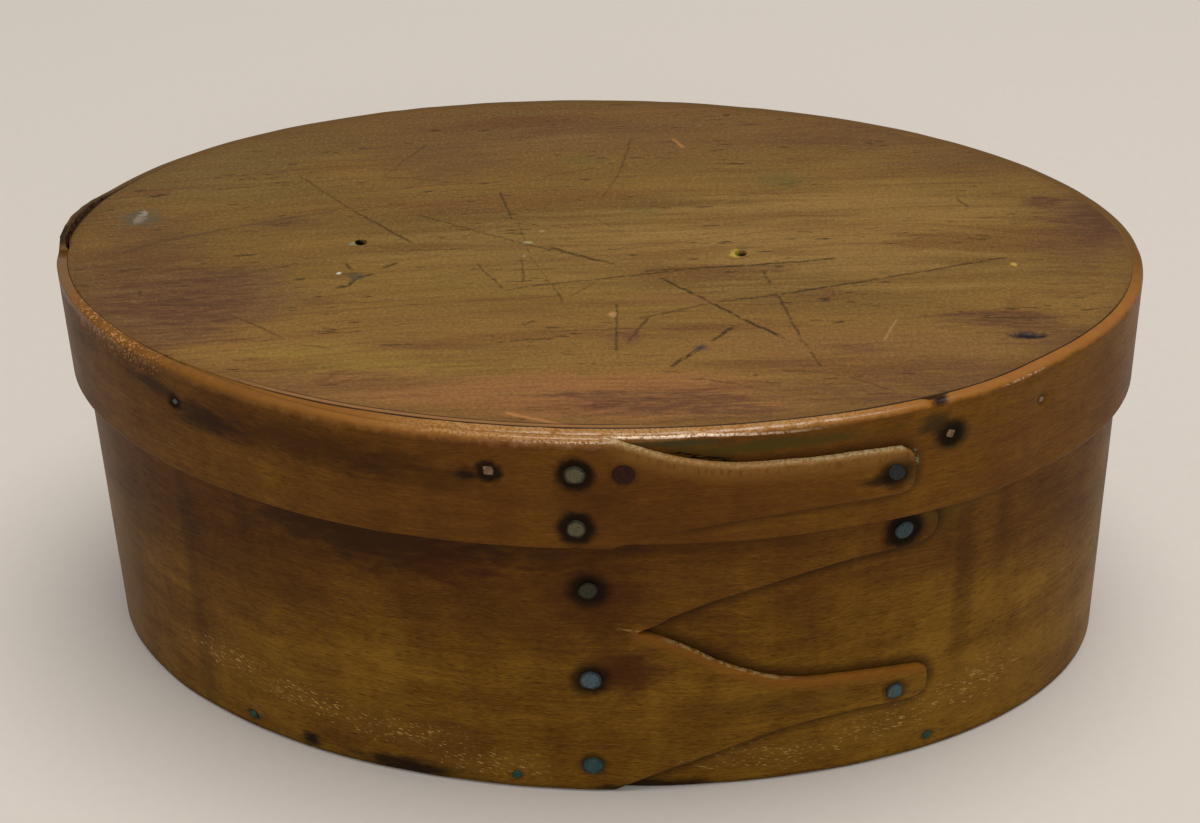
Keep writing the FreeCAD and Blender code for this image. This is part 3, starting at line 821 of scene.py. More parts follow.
def band(name, strip, outline, fastenings, change_front=None, change_back=None):
    """A whole strip: filled flat, given its thickness, and ready to be bent round the oval.

    Fastenings are flat places, each with the radius of its seat. The two changes give a face's
    offsets, from its flat points, their places and the offsets so far.
    """
    points, corners = filled(outline, band_field(strip, outline, fastenings))
    places = strip.place_at(points[:, 0])
    inner, outer = strip.inner(places), strip.outer(places)
    edge, step = outline.nearest(points)
    radius = np.minimum(np.array(outline.radii)[step], (outer - inner) * 0.7)
    dip = waves(places, 1, points[:, 1])
    front = outer - dip - rounding(edge, radius)
    back = inner - dip + rounding(edge, np.minimum(radius, CRISP))
    if change_front:
        front = change_front(points, places, front)
    if change_back:
        back = change_back(points, places, back)
    for place, seat in fastenings:
        front -= pit(points, place, seat * SEAT_WALL[0], seat * SEAT_WALL[1], SEAT_DEPTH)
    front = np.maximum(front, back + LEAST_WALL)
    faces = [np.column_stack([points[:, 0], -face, points[:, 1]]) for face in (front, back)]
    return closed_blank(name, corners, *faces, band_marks(strip, outline, points, places), points)


def bend(piece, finish):
    """Bends a flat band round the oval."""
    sizes = bpy.context.scene.oval_box_sizes
    tree = bpy.data.node_groups.get("bend round the oval") or bending_tree()
    shaped_by(tree, piece, {"Half Length": sizes.half_length, "Half Width": sizes.half_width,
                            "Front Shift": sizes.front_shift, "Finish": finish})
    smooth(piece.data, 50)


def outward_at(place, offset):
    """Which way the oval faces at a place."""
    turn = math.radians(place)
    out = Vector(((size("half_width") + offset) * math.cos(turn),
                  (size("half_length") + offset) * math.sin(turn), 0))
    return out.normalized()


def fastening_place(strip, node):
    """Where a fastening leaves the band: its place, offset and height, read from its node."""
    low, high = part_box(node)
    centre = (low + high) / 2 / MM
    places = np.linspace(-HALF_TURN, HALF_TURN, 7201)
    shown = strip.shown(places)
    best = np.hypot(*(on_oval(places, shown) - (centre.x, centre.y)).T).argmin()
    return float(places[best]), float(shown[best]), centre.z


def on_surface(strip, node):
    """The point of the band, in millimetres, where a fastening leaves it."""
    place, offset, rise = fastening_place(strip, node)
    return (*on_oval(place, offset).tolist(), rise)


def seats(strip, nodes, radius):
    """The flat places of some fastenings, each on the layer that is seen."""
    found = []
    for node in nodes:
        place, _, rise = fastening_place(strip, node)
        found.append(((float(strip.length_at(strip.shown_turn(place))), rise), radius))
    return found


BODY_TACKS = [f"body_tack_{number}" for number in range(1, 6)]
BOTTOM_PINS = [f"bottom_pin_{number}" for number in range(1, 9)]
LID_TACKS = [f"lid_tack_{number}" for number in range(1, 4)]
LID_PINS = [f"lid_pin_{number}" for number in range(1, 10)]

# A band's lower edge: how far it stands up, its lumps' height, width and seed, and its radius.
BODY_BASE = (0.06, 0.05, 3.1, 3, 0.3)
LID_BASE = (0.05, 0.04, 3.7, 4, 0.28)
BODY_RIM_RADIUS = 0.3
# A gouge in the lid's upper edge: its place round the oval, in degrees, and its height.
GOUGE = (-52.1, 45.4)
# Millimetres round the front to a degree, near that gouge.
GOUGE_STRETCH = 0.85


def band_outline(strip, offset, low, high, base, runs, make_rim):
    """The edge of a band's blank: its lower edge, its fingers, its rim and its plain start."""
    start = float(strip.length_at(strip.start))
    drawn = []
    for kind, _, points in runs:
        line = soft_curve(points, FINGER_STEPS[kind])
        if kind == "top":
            line[:, 1] += TOP_ROUGHNESS * lumps(line, 0.9, 5)
        line[:, 0] = strip.length_at(front_place(line[:, 0], offset) + FULL_TURN)
        drawn.append(line)
    outline = Outline()
    lift, height, grain, seed, radius = base
    foot = straight((start, low), drawn[0][0])
    foot[1:-1, 1] += lift + height * lumps(foot[1:-1], grain, seed)
    outline.run(foot, radius, "base")
    for line, (kind, wear, _) in zip(drawn, runs):
        outline.run(line, size("finger_wear") * wear, kind)
    outline.run(*make_rim(drawn[-1][-1], (start, high)), "rim")
    outline.run(straight((start, high), (start, low)), CRISP, "start")
    return outline


def body_outline(strip):
    return band_outline(strip, strip.lap_offset(), 0, size("body_height"), BODY_BASE, BODY_RUNS,
                        lambda crown, end: (straight(crown, end), BODY_RIM_RADIUS))


def sprung_part(places):
    """How far the lid's strip stands up above its board, at the end where it is broken."""
    rise = size("sprung_rise") - 0.08
    lifted = rise * ease(162, 177, places) * (1 - ease(184.1, 184.9, places))
    broken = 0.25 * ease(184.5, 185.2, places) * (1 - ease(187, 190, places))
    ragged = 0.08 * lumps_along(places, 1.6, 9) * ease(165, 170, places)
    return lifted - broken + ragged * (1 - ease(186, 189, places)) - 0.06


def rim_radius(places):
    """How round the lid's upper edge is: much worn at the front, crisp at the left end."""
    turned = half_turned(places)
    front = ease(-152, -140, turned) * (1 - ease(0, 30, turned))
    right = (1 - ease(20, 60, turned)) * ease(-10, 0, turned)
    uneven = 1 + 0.3 * lumps_along(places, 3.3, 8)
    polished = 1 + 0.3 * ease(-105, -95, turned) * (1 - ease(-60, -50, turned))
    return 0.16 + (size("rim_wear") - 0.16) * np.maximum(front, 0.6 * right) * uneven * polished


def lid_rim(strip, crown, end):
    """The lid's upper edge, with its sprung part and its gouge, and how round it is."""
    rim = straight(crown, end, LID_RIM_STEP)
    places = strip.place_at(rim[:, 0])
    rim[1:-1, 1] += sprung_part(places)[1:-1]
    far = abs(places - GOUGE[0]) * GOUGE_STRETCH
    rim[:, 1] -= 0.3 * (1 - ease(0.7, 1.2, far))
    rim[1:-1, 1] += 0.04 * lumps(rim[1:-1], 2.3, 6) - 0.03
    return rim, rim_radius(places)


def lid_outline(strip):
    offset = float(strip.outer(FULL_TURN - 70))
    return band_outline(strip, offset, size("lid_foot"), size("lid_top"), LID_BASE, LID_RUNS,
                        lambda crown, end: lid_rim(strip, crown, end))


def leaning(points, places):
    """How far the lid's sprung part leans outwards."""
    stretch = 0.12 * ease(158, 168, places) * (1 - ease(170, 178, places))
    return stretch * ease(41, 45.5, points[:, 1])


def opened(points, places, back):
    """The lid's inner face, where its sprung part has come away from the board."""
    stretch = ease(152, 166, places) * (1 - ease(184.4, 185.6, places))
    return back + 0.46 * stretch * ease(39, 42, points[:, 1]) + leaning(points, places)


def gouged(points, places, front):
    """The lid's outer face, with its gouge and its leaning part."""
    far = np.hypot((places - GOUGE[0]) * GOUGE_STRETCH, points[:, 1] - GOUGE[1])
    return front - 0.4 * (1 - ease(0.6, 1.3, far)) + leaning(points, places)


# --- the wood of the bands -----------------------------------------------------------------


def bent_wood(name, seed):
    """Varnished bent wood with its grain along the strip."""
    wood = Finish(name)
    grain = wood.node("ShaderNodeUVMap", {"uv_map": "grain"})
    along, level = grain.part(0), grain.part(1)
    sway = wood.drawn_out(along * 0.045, level * 0.06, seed, 2) - 0.5
    up = level + sway * 3
    wood.fibres = wood.drawn_out(along * 1.3, up * 6.5, seed + 7.7, 3, 0.65)
    hair = wood.drawn_out(along * 0.1, up * 2.3, seed + 3.1, 4, 0.62)
    mottle = wood.drawn_out(along * 0.2, up * 0.36, seed + 8.4, 4, 0.6)
    clouds = wood.drawn_out(along * 0.04, up * 0.1, seed, 2, 0.5)
    bars = wood.drawn_out(along * 0.2, level * 0.012, seed + 1.9)
    wood.pores = wood.drawn_out(along * 0.9, up * 6.5, seed + 2.2, 2, 0.5)
    wood.frayed = (wood.drawn_out(along * 0.35, up * 0.9, 6.1, 4, 0.65) - 0.5) * 1.5
    tone = (mottle - 0.5) * 0.6 + (clouds - 0.5) * 0.7 + (hair - 0.5) * 0.45
    wood.tone = tone + (wood.fibres - 0.5) * 0.8 + (bars - 0.5) * 0.45 + 0.46
    wood.broken = wood.noise(wood.place, 1.7, 3, 0.7)
    wood.layer = wood.mark("layer")
    wood.top = wood.mark("bright_edge")
    return wood


def varnish(wood, tone):
    """Lays the varnish, from dark where tone is 0 to honey where it is 1."""
    wood.colour = wood.mix(tone.ease(-0.05, 0.55), paint("dark_varnish"), paint("chestnut"))
    wood.lay(tone.ease(0.4, 1), paint("honey"))
    wood.lay(wood.pores.ease(0.58, 0.68) * 0.5, rgb(44, 24, 7))


def shade(wood, shades):
    """Lays soft patches on the front: X, height, their half sizes, strength and colour."""
    x, y, rise = wood.axes()
    wood.lay_blots(wood.flat(x, rise), shades, wood.frayed, y.ease(5, -5))


def darken(wood, strip, rings):
    """Lays a dark ring round each fastening: its full and outer radius, and how dark."""
    ragged = wood.ragged(0.45, 1.1)
    dark = most_of(ragged.distance(on_surface(strip, node)).ease(outer, inner) * depth
                   for node, (inner, outer, depth) in rings.items())
    wood.lay(dark, rgb(20, 13, 6))
    return dark


def lined_inside(wood):
    """Bare aged wood on the inner face."""
    bare = wood.mix(wood.tone.ease(0.1, 1), rgb(132, 94, 54), paint("raw_inside"))
    inside = wood.mark("inside").ease(0.92, 1)
    wood.lay(inside, bare)
    return inside


def grain_height(wood):
    return wood.fibres * 0.6 + wood.tone * 0.4 + wood.pores * -0.3


def dullness(wood, plain, dark):
    """Roughness of a band: duller round its fastenings and on its inner face."""
    return plain + (wood.tone - 0.5) * -0.12 + dark * 0.3 + wood.mark("inside") * 0.25


UMBER = (46, 25, 7)
RED_UMBER = (62, 28, 10)
SOOT_AND_SHADE = (20, 13, 7)
MOSS = (70, 58, 18)
# The patches at X -19.5, -2, 17 and 41.5 are painted shadow under the lid's edge, on darker wood.
BODY_SHADES = [
    (-19.5, 30.6, 16, 5, 0.85, UMBER), (-10.5, 28.4, 6, 3.4, 0.5, RED_UMBER),
    (-2, 31.5, 12, 3.6, 0.6, UMBER), (17, 32.2, 16, 2.8, 0.35, UMBER),
    (2.4, 25.5, 6, 4, 0.55, RED_UMBER), (6, 16, 4.6, 3, 0.75, RED_UMBER),
    (-40.7, 20, 1.2, 40, 0.4, UMBER), (-33.6, 30, 0.9, 8, 0.3, UMBER),
    (39.2, 22, 1.3, 16, 0.35, UMBER), (43, 26, 1.1, 9, 0.25, UMBER),
    (37, 31.5, 2.8, 3.6, 0.5, MOSS), (41.5, 32.3, 3, 2, 0.4, UMBER),
    (-28.3, 1.5, 1.7, 1.1, 0.95, SOOT_AND_SHADE), (-17.5, 1, 7, 1.6, 0.9, SOOT_AND_SHADE),
    (-35, 1.8, 0.8, 0.6, 0.8, SOOT_AND_SHADE), (-53.4, 14.3, 0.4, 1, 0.9, SOOT_AND_SHADE),
    # The second here, at the notch, is painted shade in its small hole.
    (8, 0.5, 6, 0.9, 0.85, SOOT_AND_SHADE), (7.6, 20.9, 0.9, 0.35, 0.95, SOOT_AND_SHADE),
    (22, 10.6, 12, 2, 0.35, UMBER),
]
LID_SHADES = [
    (-35.5, 40.6, 4.8, 1.8, 0.92, UMBER), (-41.5, 42.2, 4, 1.1, 0.75, UMBER),
    (-24, 41.2, 13, 2.6, 0.6, UMBER), (-14, 40, 8, 2.4, 0.4, UMBER),
    (20, 43.5, 12, 0.9, 0.85, MOSS), (36.8, 41, 2, 1.6, 0.75, MOSS),
    (11, 44.3, 5.5, 0.5, 0.8, (62, 58, 34)), (35, 42.9, 1.9, 1.2, 0.75, (40, 34, 16)),
    (30.3, 38.2, 2.4, 0.9, 0.8, SOOT_AND_SHADE),
    (3, 38.2, 6, 3, 0.3, UMBER), (33.3, 38, 0.8, 2, 0.4, MOSS),
    (-8.6, 40.8, 1.6, 0.9, 0.8, SOOT_AND_SHADE),
]
# Where fine golden flecks show near the base: X, height and half sizes.
FLECKED = [(-38, 8.5, 6, 2.6), (-29, 7, 7, 2.6), (-18, 6, 9, 2.8), (-8, 3, 9, 2.4),
           (20, 3.4, 12, 2.4), (32, 5.4, 8, 3.4), (41, 7, 7, 4)]


# Dark rings round the fastenings: full radius, outer radius and how dark.
BODY_RINGS = dict(zip(BODY_TACKS, [(1, 1.9, 0.45), (1.2, 2.8, 0.88), (1.3, 2.9, 0.9),
                                   (1.5, 3, 0.97), (1.1, 1.8, 0.5)]))
BODY_RINGS.update(dict.fromkeys(BOTTOM_PINS, (0.3, 1.2, 0.55)))
LID_RINGS = dict(zip(LID_TACKS, [(1.4, 2.4, 0.93), (1.45, 2.5, 0.93), (1, 2.6, 0.85)]))
LID_RINGS.update(dict.fromkeys(LID_PINS, (0.5, 1.4, 0.85)))
LID_RINGS.update(lid_pin_2=(0.9, 1.7, 0.9), lid_pin_3=(0.9, 2.4, 0.95), lid_pin_4=(0.3, 1.1, 0.4),
                 lid_plug=(0.9, 1.6, 0.5))


def fleck(wood):
    """Golden flecks near the base, where the varnish has chipped off."""
    x, y, rise = wood.axes()
    front = y.ease(0, -5)
    specks = wood.drawn_out(x * 1.5, rise * 5.2 + x * 1.2, y * 1.2, 2, 0.5)
    flat = wood.flat(x, rise)
    dense = most_of(wood.blot(flat, oval, wood.frayed * 0.5) for oval in FLECKED)
    specks = (specks + dense * 0.1).ease(0.69, 0.78) * front * dense.ease(0, 0.3)
    wood.lay(dense * front * 0.3, rgb(112, 78, 28))
    wood.lay(specks * (0.6 + x.ease(-5, -25) * 0.25), rgb(192, 152, 88))
    return specks


def edge_body_fingers(wood):
    """Painted shadow and dirt under the fingers' edges; rubbed and splintered along them."""
    x, y, rise = wood.axes()
    top, layer = wood.top, wood.layer
    # Painted shadow and dirt on the inner layer, under the fingers' edges.
    wood.lay(wood.mark("finger_edge").ease(1.8, 0.1) * (1 - layer) * 0.7, rgb(36, 20, 6))
    wood.lay(top.ease(1.7, 0.2) * layer * 0.6, rgb(132, 80, 26))
    # A pale line on the upper edges: partly dust, partly painted highlight.
    pale = top.ease(0.2, 0.06) * layer * wood.broken.ease(0.42, 0.56)
    wood.lay(pale * x.ease(24, 19) * x.ease(8.5, 11) * 0.65, rgb(172, 146, 98))
    splinter = wood.stroke(wood.flat(x, rise), (4.9, 21.5, 7.9, 20.95), 0.16)
    wood.lay(splinter * y.ease(0, -5) * wood.broken.ease(0.38, 0.5) * 0.45, rgb(166, 136, 88))


def body_wood(strip):
    wood = bent_wood("body_band_wood", 0)
    x, y, rise = wood.axes()
    # Lighter towards the right of the front: painted light, as more light falls there.
    lighter = x.ease(0, 45) * y.ease(5, -5) * 0.16
    # Lighter low and darker, redder high: partly the varnish's colour, partly painted shade under the
    # lid.
    varnish(wood, wood.tone + rise.ease(30, 8) * 0.25 + lighter - 0.12)
    wood.lay(rise.ease(15, 34) * 0.3, rgb(88, 46, 16))
    # Painted sheen: a greyer, lighter band at the left end of the front, a grazing reflection.
    wood.lay(x.ease(-46, -53) * y.ease(5, -5) * 0.22, rgb(140, 114, 84))
    shade(wood, BODY_SHADES)
    flecks = fleck(wood)
    dark = darken(wood, strip, BODY_RINGS)
    wood.lay(rise.ease(1, 0) * 0.6, rgb(28, 18, 8))
    edge_body_fingers(wood)
    top = size("body_height")
    wood.lay(rise.ease(top - 0.35, top - 0.1) * 0.9, rgb(122, 90, 54))
    lined_inside(wood)
    return wood.close(dullness(wood, 0.42, dark), grain_height(wood) + flecks * 0.3, 0.04,
                      Specular_IOR_Level=0.05)


def wear_rim_with_highlights(wood):
    """The lid's rim, rubbed to orange and polished, with painted highlights. Returns how worn and
    glossy.
    """
    x, y, rise = wood.axes()
    crumbs, mottled, front = wood.crumbs, wood.mottled, wood.front
    beside = x.ease(3, 12)
    worn = rise + (mottled - 0.5) * (1.6 - beside * 0.8)
    worn = worn.ease(beside * 0.6 + 44, beside * 0.1 + 45.1)
    wood.lay(worn * front * (x.ease(-45, 0) * 0.45 + 0.3), paint("worn_edge"))
    rubbed = (rise + (mottled - 0.5) * 3).ease(42.4, 44.6) * front
    rubbed = rubbed * x.ease(-38, -44) * x.ease(-54, -49)
    wood.lay(rubbed * crumbs.ease(0.54, 0.62) * 0.8, rgb(200, 140, 88))
    # Painted highlight: a pale, broken band along the top of the front rim.
    bright = front * x.ease(-20, -8) * x.ease(36, 22) * crumbs.ease(0.44, 0.56)
    wood.lay(bright * (rise + (mottled - 0.5) * 0.6).ease(44.9, 45.2) * 0.4, rgb(206, 166, 108))
    # Painted highlights: a thin bright line on the rounded front rim (gleam), a short glint at right
    # (spark).
    ridge = 44.92 + x.ease(3.6, 5.2) * 0.08 + x.ease(13, 22) * -0.3
    gleam = abs(rise + (mottled - 0.5) * 0.25 - ridge).ease(0.17, 0.06) * front
    gleam = gleam * x.ease(-8, 1) * x.ease(27, 12)
    gleam = gleam * crumbs.ease(0.36 + x.ease(5, 2) * 0.12, 0.56)
    spark = abs(rise - 44.93).ease(0.15, 0.05) * x.ease(41, 43) * x.ease(46.2, 44.5)
    spark = spark * crumbs.ease(0.45, 0.62) * front * 0.7
    wood.lay(gleam.most(spark) * (x.ease(3, 6) * 0.25 + 0.6), rgb(255, 226, 190))
    wood.lay(worn * front * x.ease(28, 45) * mottled.ease(0.4, 0.58) * 0.5, rgb(142, 84, 40))
    groove = wood.blot(wood.flat(x, rise), (35.4, 45, 0.85, 0.5), (crumbs - 0.5) * 0.8)
    wood.lay(groove * y.ease(0, -5), rgb(38, 22, 22))
    wood.lay(rise.ease(45, 45.3) * (1 - front) * 0.8, rgb(106, 78, 40))
    polished = x.ease(-12, 0) * x.ease(34, 22) * 0.88 + 0.12
    return worn, worn * front * (mottled - 0.5).ease(-0.2, 0.1) * polished


def break_lip(wood):
    """The sprung end of the lid's strip: a dull broken lip, dark where it hooks round."""
    x, y, rise = wood.axes()
    lip = rise.ease(45.2, 45.5) * x.ease(-48, -52) * y.ease(-2.2, -1.7)
    wood.lay(lip * 0.85, rgb(82, 64, 34))
    # Painted shade on the inner half of the lip's top, over the gap to the board, on dark broken wood.
    inner = (wood.mark("inside") + (wood.crumbs - 0.5) * 0.5).ease(0.35, 0.6)
    wood.lay(lip * inner * 0.7, rgb(58, 36, 24))
    hooked = rise.ease(44.2, 44.8) * x.ease(-56.3, -56.8) * y.ease(-2.2, -1.8) * y.ease(1.4, 0.4)
    wood.lay(hooked * 0.85, rgb(36, 27, 10))
    wood.lay(rise.ease(45, 45.3) * x.ease(-51, -54) * y.ease(-1.8, -2.6) * 0.5,
             rgb(134, 102, 74))


def edge_lid_finger(wood):
    """Painted shadow and dirt under the lid finger's edge; torn, rubbed, combed and dusty along it."""
    x, y, rise = wood.axes()
    top, layer, crumbs = wood.top, wood.layer, wood.crumbs
    edge = wood.mark("finger_edge")
    # Painted shadow and dirt on the inner layer along the finger's edges.
    wood.lay(edge.ease(1.4, 0.1) * (1 - layer) * x.ease(8, 13) * 0.6, rgb(42, 26, 8))
    wood.lay(top.ease(2.6, 0.3) * layer * x.ease(2, 8) * 0.55, rgb(148, 102, 50))
    combed = wood.drawn_out(x * 2.6, rise * 0.6, 5.5, 2, 0.6).ease(0.5, 0.62)
    notched = top.ease(1.5, 1) * top.ease(0.3, 0.7) * layer * x.ease(5, 8)
    above = rise.ease(44.8, 44.4) * rise.ease(43.5, 43.9) * x.ease(-26, -18) * x.ease(6, 3)
    wood.lay(notched.most(above) * combed * wood.front * 0.5, rgb(92, 50, 18))
    # A crack along the finger's upper edge, painted near-black as the shade inside it.
    strands = wood.drawn_out(x * 0.7, rise * 6.5, 3.3, 3, 0.6)
    crack = (top + strands - 0.5).ease(0.6, 0.45) * (1 - layer) * strands.ease(0.46, 0.5)
    wood.lay(crack * x.ease(9.5, 11) * x.ease(16.6, 15.2), rgb(10, 7, 4))
    dusty = (top + (wood.mottled - 0.5) * 0.6).ease(0.6, 0.1) * layer * x.ease(3.2, 5)
    wood.lay(dusty * (crumbs.ease(0.42, 0.6) * 0.45 + 0.2), rgb(166, 132, 86))
    # A pale line on the upper edge: dust, and near the rim, at X 3 to 11, a painted highlight.
    pale = top.ease(0.2, 0.05) * layer * crumbs.ease(0.4, 0.56)
    reach = x.ease(14, 28) * 0.55 + x.ease(11, 8) * x.ease(3.2, 5) * 0.4
    wood.lay(pale * reach, rgb(166, 158, 122))
    tip = edge * (1 - layer) + layer * 9
    dust = tip.ease(1, 0.1) * x.ease(32.8, 33.6) * rise.ease(37.8, 39.6) * crumbs.ease(0.5, 0.6)
    wood.lay(dust * y.ease(0, -5) * 0.8, rgb(168, 162, 128))


def lid_wood(strip):
    wood = bent_wood("lid_band_wood", 4)
    x, y, rise = wood.axes()
    # Lighter towards the right of the front: painted light, as more light falls there.
    varnish(wood, wood.tone + x.ease(5, 50) * y.ease(5, -5) * 0.2 - 0.04)
    wood.lay(x.ease(-60, 10) * 0.25 + 0.1, rgb(104, 58, 20))
    shade(wood, LID_SHADES)
    dark = darken(wood, strip, LID_RINGS)
    wood.mottled = wood.noise(wood.place, 0.7, 4, 0.65)
    wood.crumbs = wood.noise(wood.place, 3.5, 3, 0.7)
    wood.front = y.ease(6, -10) * x.ease(-56.5, -52)
    worn, glossy = wear_rim_with_highlights(wood)
    break_lip(wood)
    edge_lid_finger(wood)
    inside = lined_inside(wood)
    torn = wood.mix(wood.broken.ease(0.4, 0.6), rgb(58, 34, 24), rgb(92, 68, 46))
    wood.lay(inside * rise.ease(42.5, 44.5) * x.ease(-48, -53), torn)
    return wood.close(dullness(wood, 0.4, dark) - worn * 0.1, grain_height(wood), 0.04,
                      Coat_Weight=glossy, Coat_Roughness=0.15, Specular_IOR_Level=0.05)


# --- the boards ----------------------------------------------------------------------------

NAIL_HOLES = [(-24.7, 0.2), (15.6, -0.3)]
BRUISE = (44.2, -15.4)

# Scratches in the lid's board: two ends in millimetres, width and depth.
SCRATCHES = [
    (-34.2, 15, -27.1, 7.5, 0.15, 0.6), (-27.1, 7.5, -19.3, 0.4, 0.18, 0.8),
    (-24.9, 14.9, -21, 23.8, 0.15, 0.5), (-24.9, 15.1, -18, 14.7, 0.15, 0.5),
    (-19.9, 6.7, -8.1, 1, 0.16, 0.6), (-8.1, 1, 2.8, -3.2, 0.18, 0.7),
    (-11.4, 12.4, -9.2, 6, 0.18, 0.8), (2.2, 26, 1.4, 17.3, 0.2, 0.5),
    (1.4, 17.3, 0, 11, 0.18, 0.4), (-19.2, -1.3, -13.6, -0.8, 0.15, 0.5),
    (-11.9, -3.7, -8.3, -9, 0.16, 0.6), (-7.2, -2.4, -6.4, -7.6, 0.16, 0.7),
    (-4.8, 0.2, 1.1, -2.7, 0.2, 0.9), (-5.7, -8.2, 11.5, -3.7, 0.17, 0.7),
    (-25.9, -9.7, -24.3, -8.9, 0.3, 1), (-24.5, -9.1, -23.9, -7.3, 0.3, 1),
    (-24.2, -7.5, -22.2, -6.4, 0.26, 1), (-25.6, -4.3, -24.6, -5.9, 0.24, 0.8),
    (-21.7, -5.2, -20, -3.8, 0.3, 0.9), (7.4, -5.7, 11.2, -9, 0.22, 1),
    (11.2, -9, 16.2, -13.6, 0.22, 1), (16.2, -13.6, 20.6, -17.2, 0.24, 1),
    (18, -3.8, 18.9, -6.6, 0.2, 0.8), (19.6, -8.6, 22.1, -16.9, 0.2, 0.7),
    (22.1, -16.9, 24.2, -22.4, 0.2, 0.6), (6, -14.1, 13.1, -10.6, 0.18, 0.6),
    (13.1, -10.6, 20.9, -8.2, 0.2, 0.8), (20.9, -8.2, 30.1, -4.9, 0.2, 0.9),
    (30.1, -4.9, 43.2, 0.2, 0.2, 0.8), (5.4, -4.6, 16.3, -2.8, 0.2, 0.8),
    (16.3, -2.8, 25.7, -0.9, 0.22, 0.9), (15.5, -15.1, 13.4, -18.1, 0.3, 1),
    (12.7, -18.9, 9.5, -23.3, 0.3, 1), (25.2, -13.9, 26.5, -13.6, 0.26, 0.9),
    (-34.2, -16.1, -29.2, -19.5, 0.18, 0.6), (-8.6, 5.8, -6.4, -1.8, 0.12, 0.4),
    (-10.5, 6.9, -4, 3.4, 0.12, 0.4), (-29, 0.4, -20, -1, 0.1, 0.3),
    (-14.3, 1.8, -11.3, 3.5, 0.14, 0.5), (-46, -11, -45.4, -12.2, 0.2, 0.7),
    (-44.5, -14, -37.2, -13.6, 0.14, 0.6), (-36.4, -15, -34.1, -16.1, 0.16, 0.6),
    (-25.6, -17.4, -23.9, -17.9, 0.2, 0.7), (-7.9, -19.4, -2.1, -18.3, 0.2, 0.7),
    (-5.7, -16, -4.3, -15, 0.2, 0.7), (3.5, -11.2, 4.2, -20.6, 0.18, 0.7),
    (5.1, -18.7, 7, -13.4, 0.22, 0.7), (39.7, -12.2, 48.1, -11.8, 0.16, 0.7),
    (-3.7, -17.3, 5.9, -16, 0.14, 0.6), (26.8, -23.9, 30.9, -26.2, 0.14, 0.5),
    (38.4, 13, 39.8, 10.8, 0.2, 0.6), (-7.3, 15.9, -0.8, 18.6, 0.12, 0.4),
    (-3.5, -7.9, -2.1, -11.1, 0.14, 0.6), (-1.2, -10, 1.4, -6.4, 0.14, 0.5),
    (-8, -5, -3, -4.4, 0.14, 0.5), (-0.9, 7.3, 2.8, 3.7, 0.12, 0.4),
    (11.6, -25, 16.4, -25.8, 0.16, 0.6), (20.2, -23.1, 25, -23.2, 0.14, 0.6),
    (-27.1, -20.9, -24, -21.3, 0.16, 0.6), (-36.1, -7.4, -30.4, -4.4, 0.12, 0.35),
    (-6.4, -1.8, -3.3, -8.4, 0.12, 0.4), (-3.3, -8.4, -2, -10.9, 0.16, 0.6),
    (-8.2, -9.3, -5.5, -8.2, 0.16, 0.7), (-19.2, -20.5, -15.7, -20.2, 0.18, 0.7),
]

# Stains: centre, half length and half width in millimetres, and strength.
STAINS = [
    (-41, -13.5, 11, 9, 0.85), (-47, -4, 7, 9, 0.55), (53, 8.5, 5.5, 7, 0.9),
    (47.7, 12.5, 2.6, 2.2, 0.95), (9, -29.5, 14, 3.4, 0.8), (-20, 19, 9, 5, 0.45),
    (27, 28, 12, 4, 0.5),
    (43, -12.6, 8.5, 2.2, 0.85), (48, -15.5, 8, 3.2, 0.6), (-8, 29, 16, 3, 0.4),
    (36, -23, 12, 4, 0.5), (-22, -27.5, 12, 3, 0.45), (11.5, -15.7, 6.5, 1.2, 0.3),
    (27, -18.6, 3.6, 0.8, 0.7), (4, -18, 1.6, 2.6, 0.3), (-33, 4, 4, 1.4, 0.5),
    (51, 3, 6, 10, 0.5), (24, -27, 12, 3.4, 0.5), (-44, -20, 6, 3, 0.5),
    (18, -22, 9, 1.6, 0.4), (-12, -20.5, 9, 1.2, 0.35), (38, 22, 9, 3, 0.35),
]

# Broad tints of the board: centre, half sizes, strength and colour.
TINTS = [
    (-18, -24, 16, 3.6, 0.6, (140, 112, 40)), (-8, -9, 22, 6, 0.35, (138, 106, 40)),
    (-44, 17, 12, 7, 0.45, (108, 86, 38)), (36, 10, 16, 8, 0.3, (140, 106, 44)),
    (0, -29.5, 30, 5.4, 0.6, (152, 98, 58)), (2, -1, 22, 9, 0.4, (146, 112, 58)),
    (0, 27, 26, 5, 0.35, (106, 70, 38)), (30, -18, 16, 5, 0.4, (124, 82, 48)),
    (24, 3, 22, 11, 0.5, (156, 118, 62)), (-42, -13, 11, 9, 0.5, (102, 68, 48)),
    (53, 8, 6, 8, 0.5, (92, 60, 40)), (-44, 14, 12, 7, 0.3, (104, 82, 40)),
]


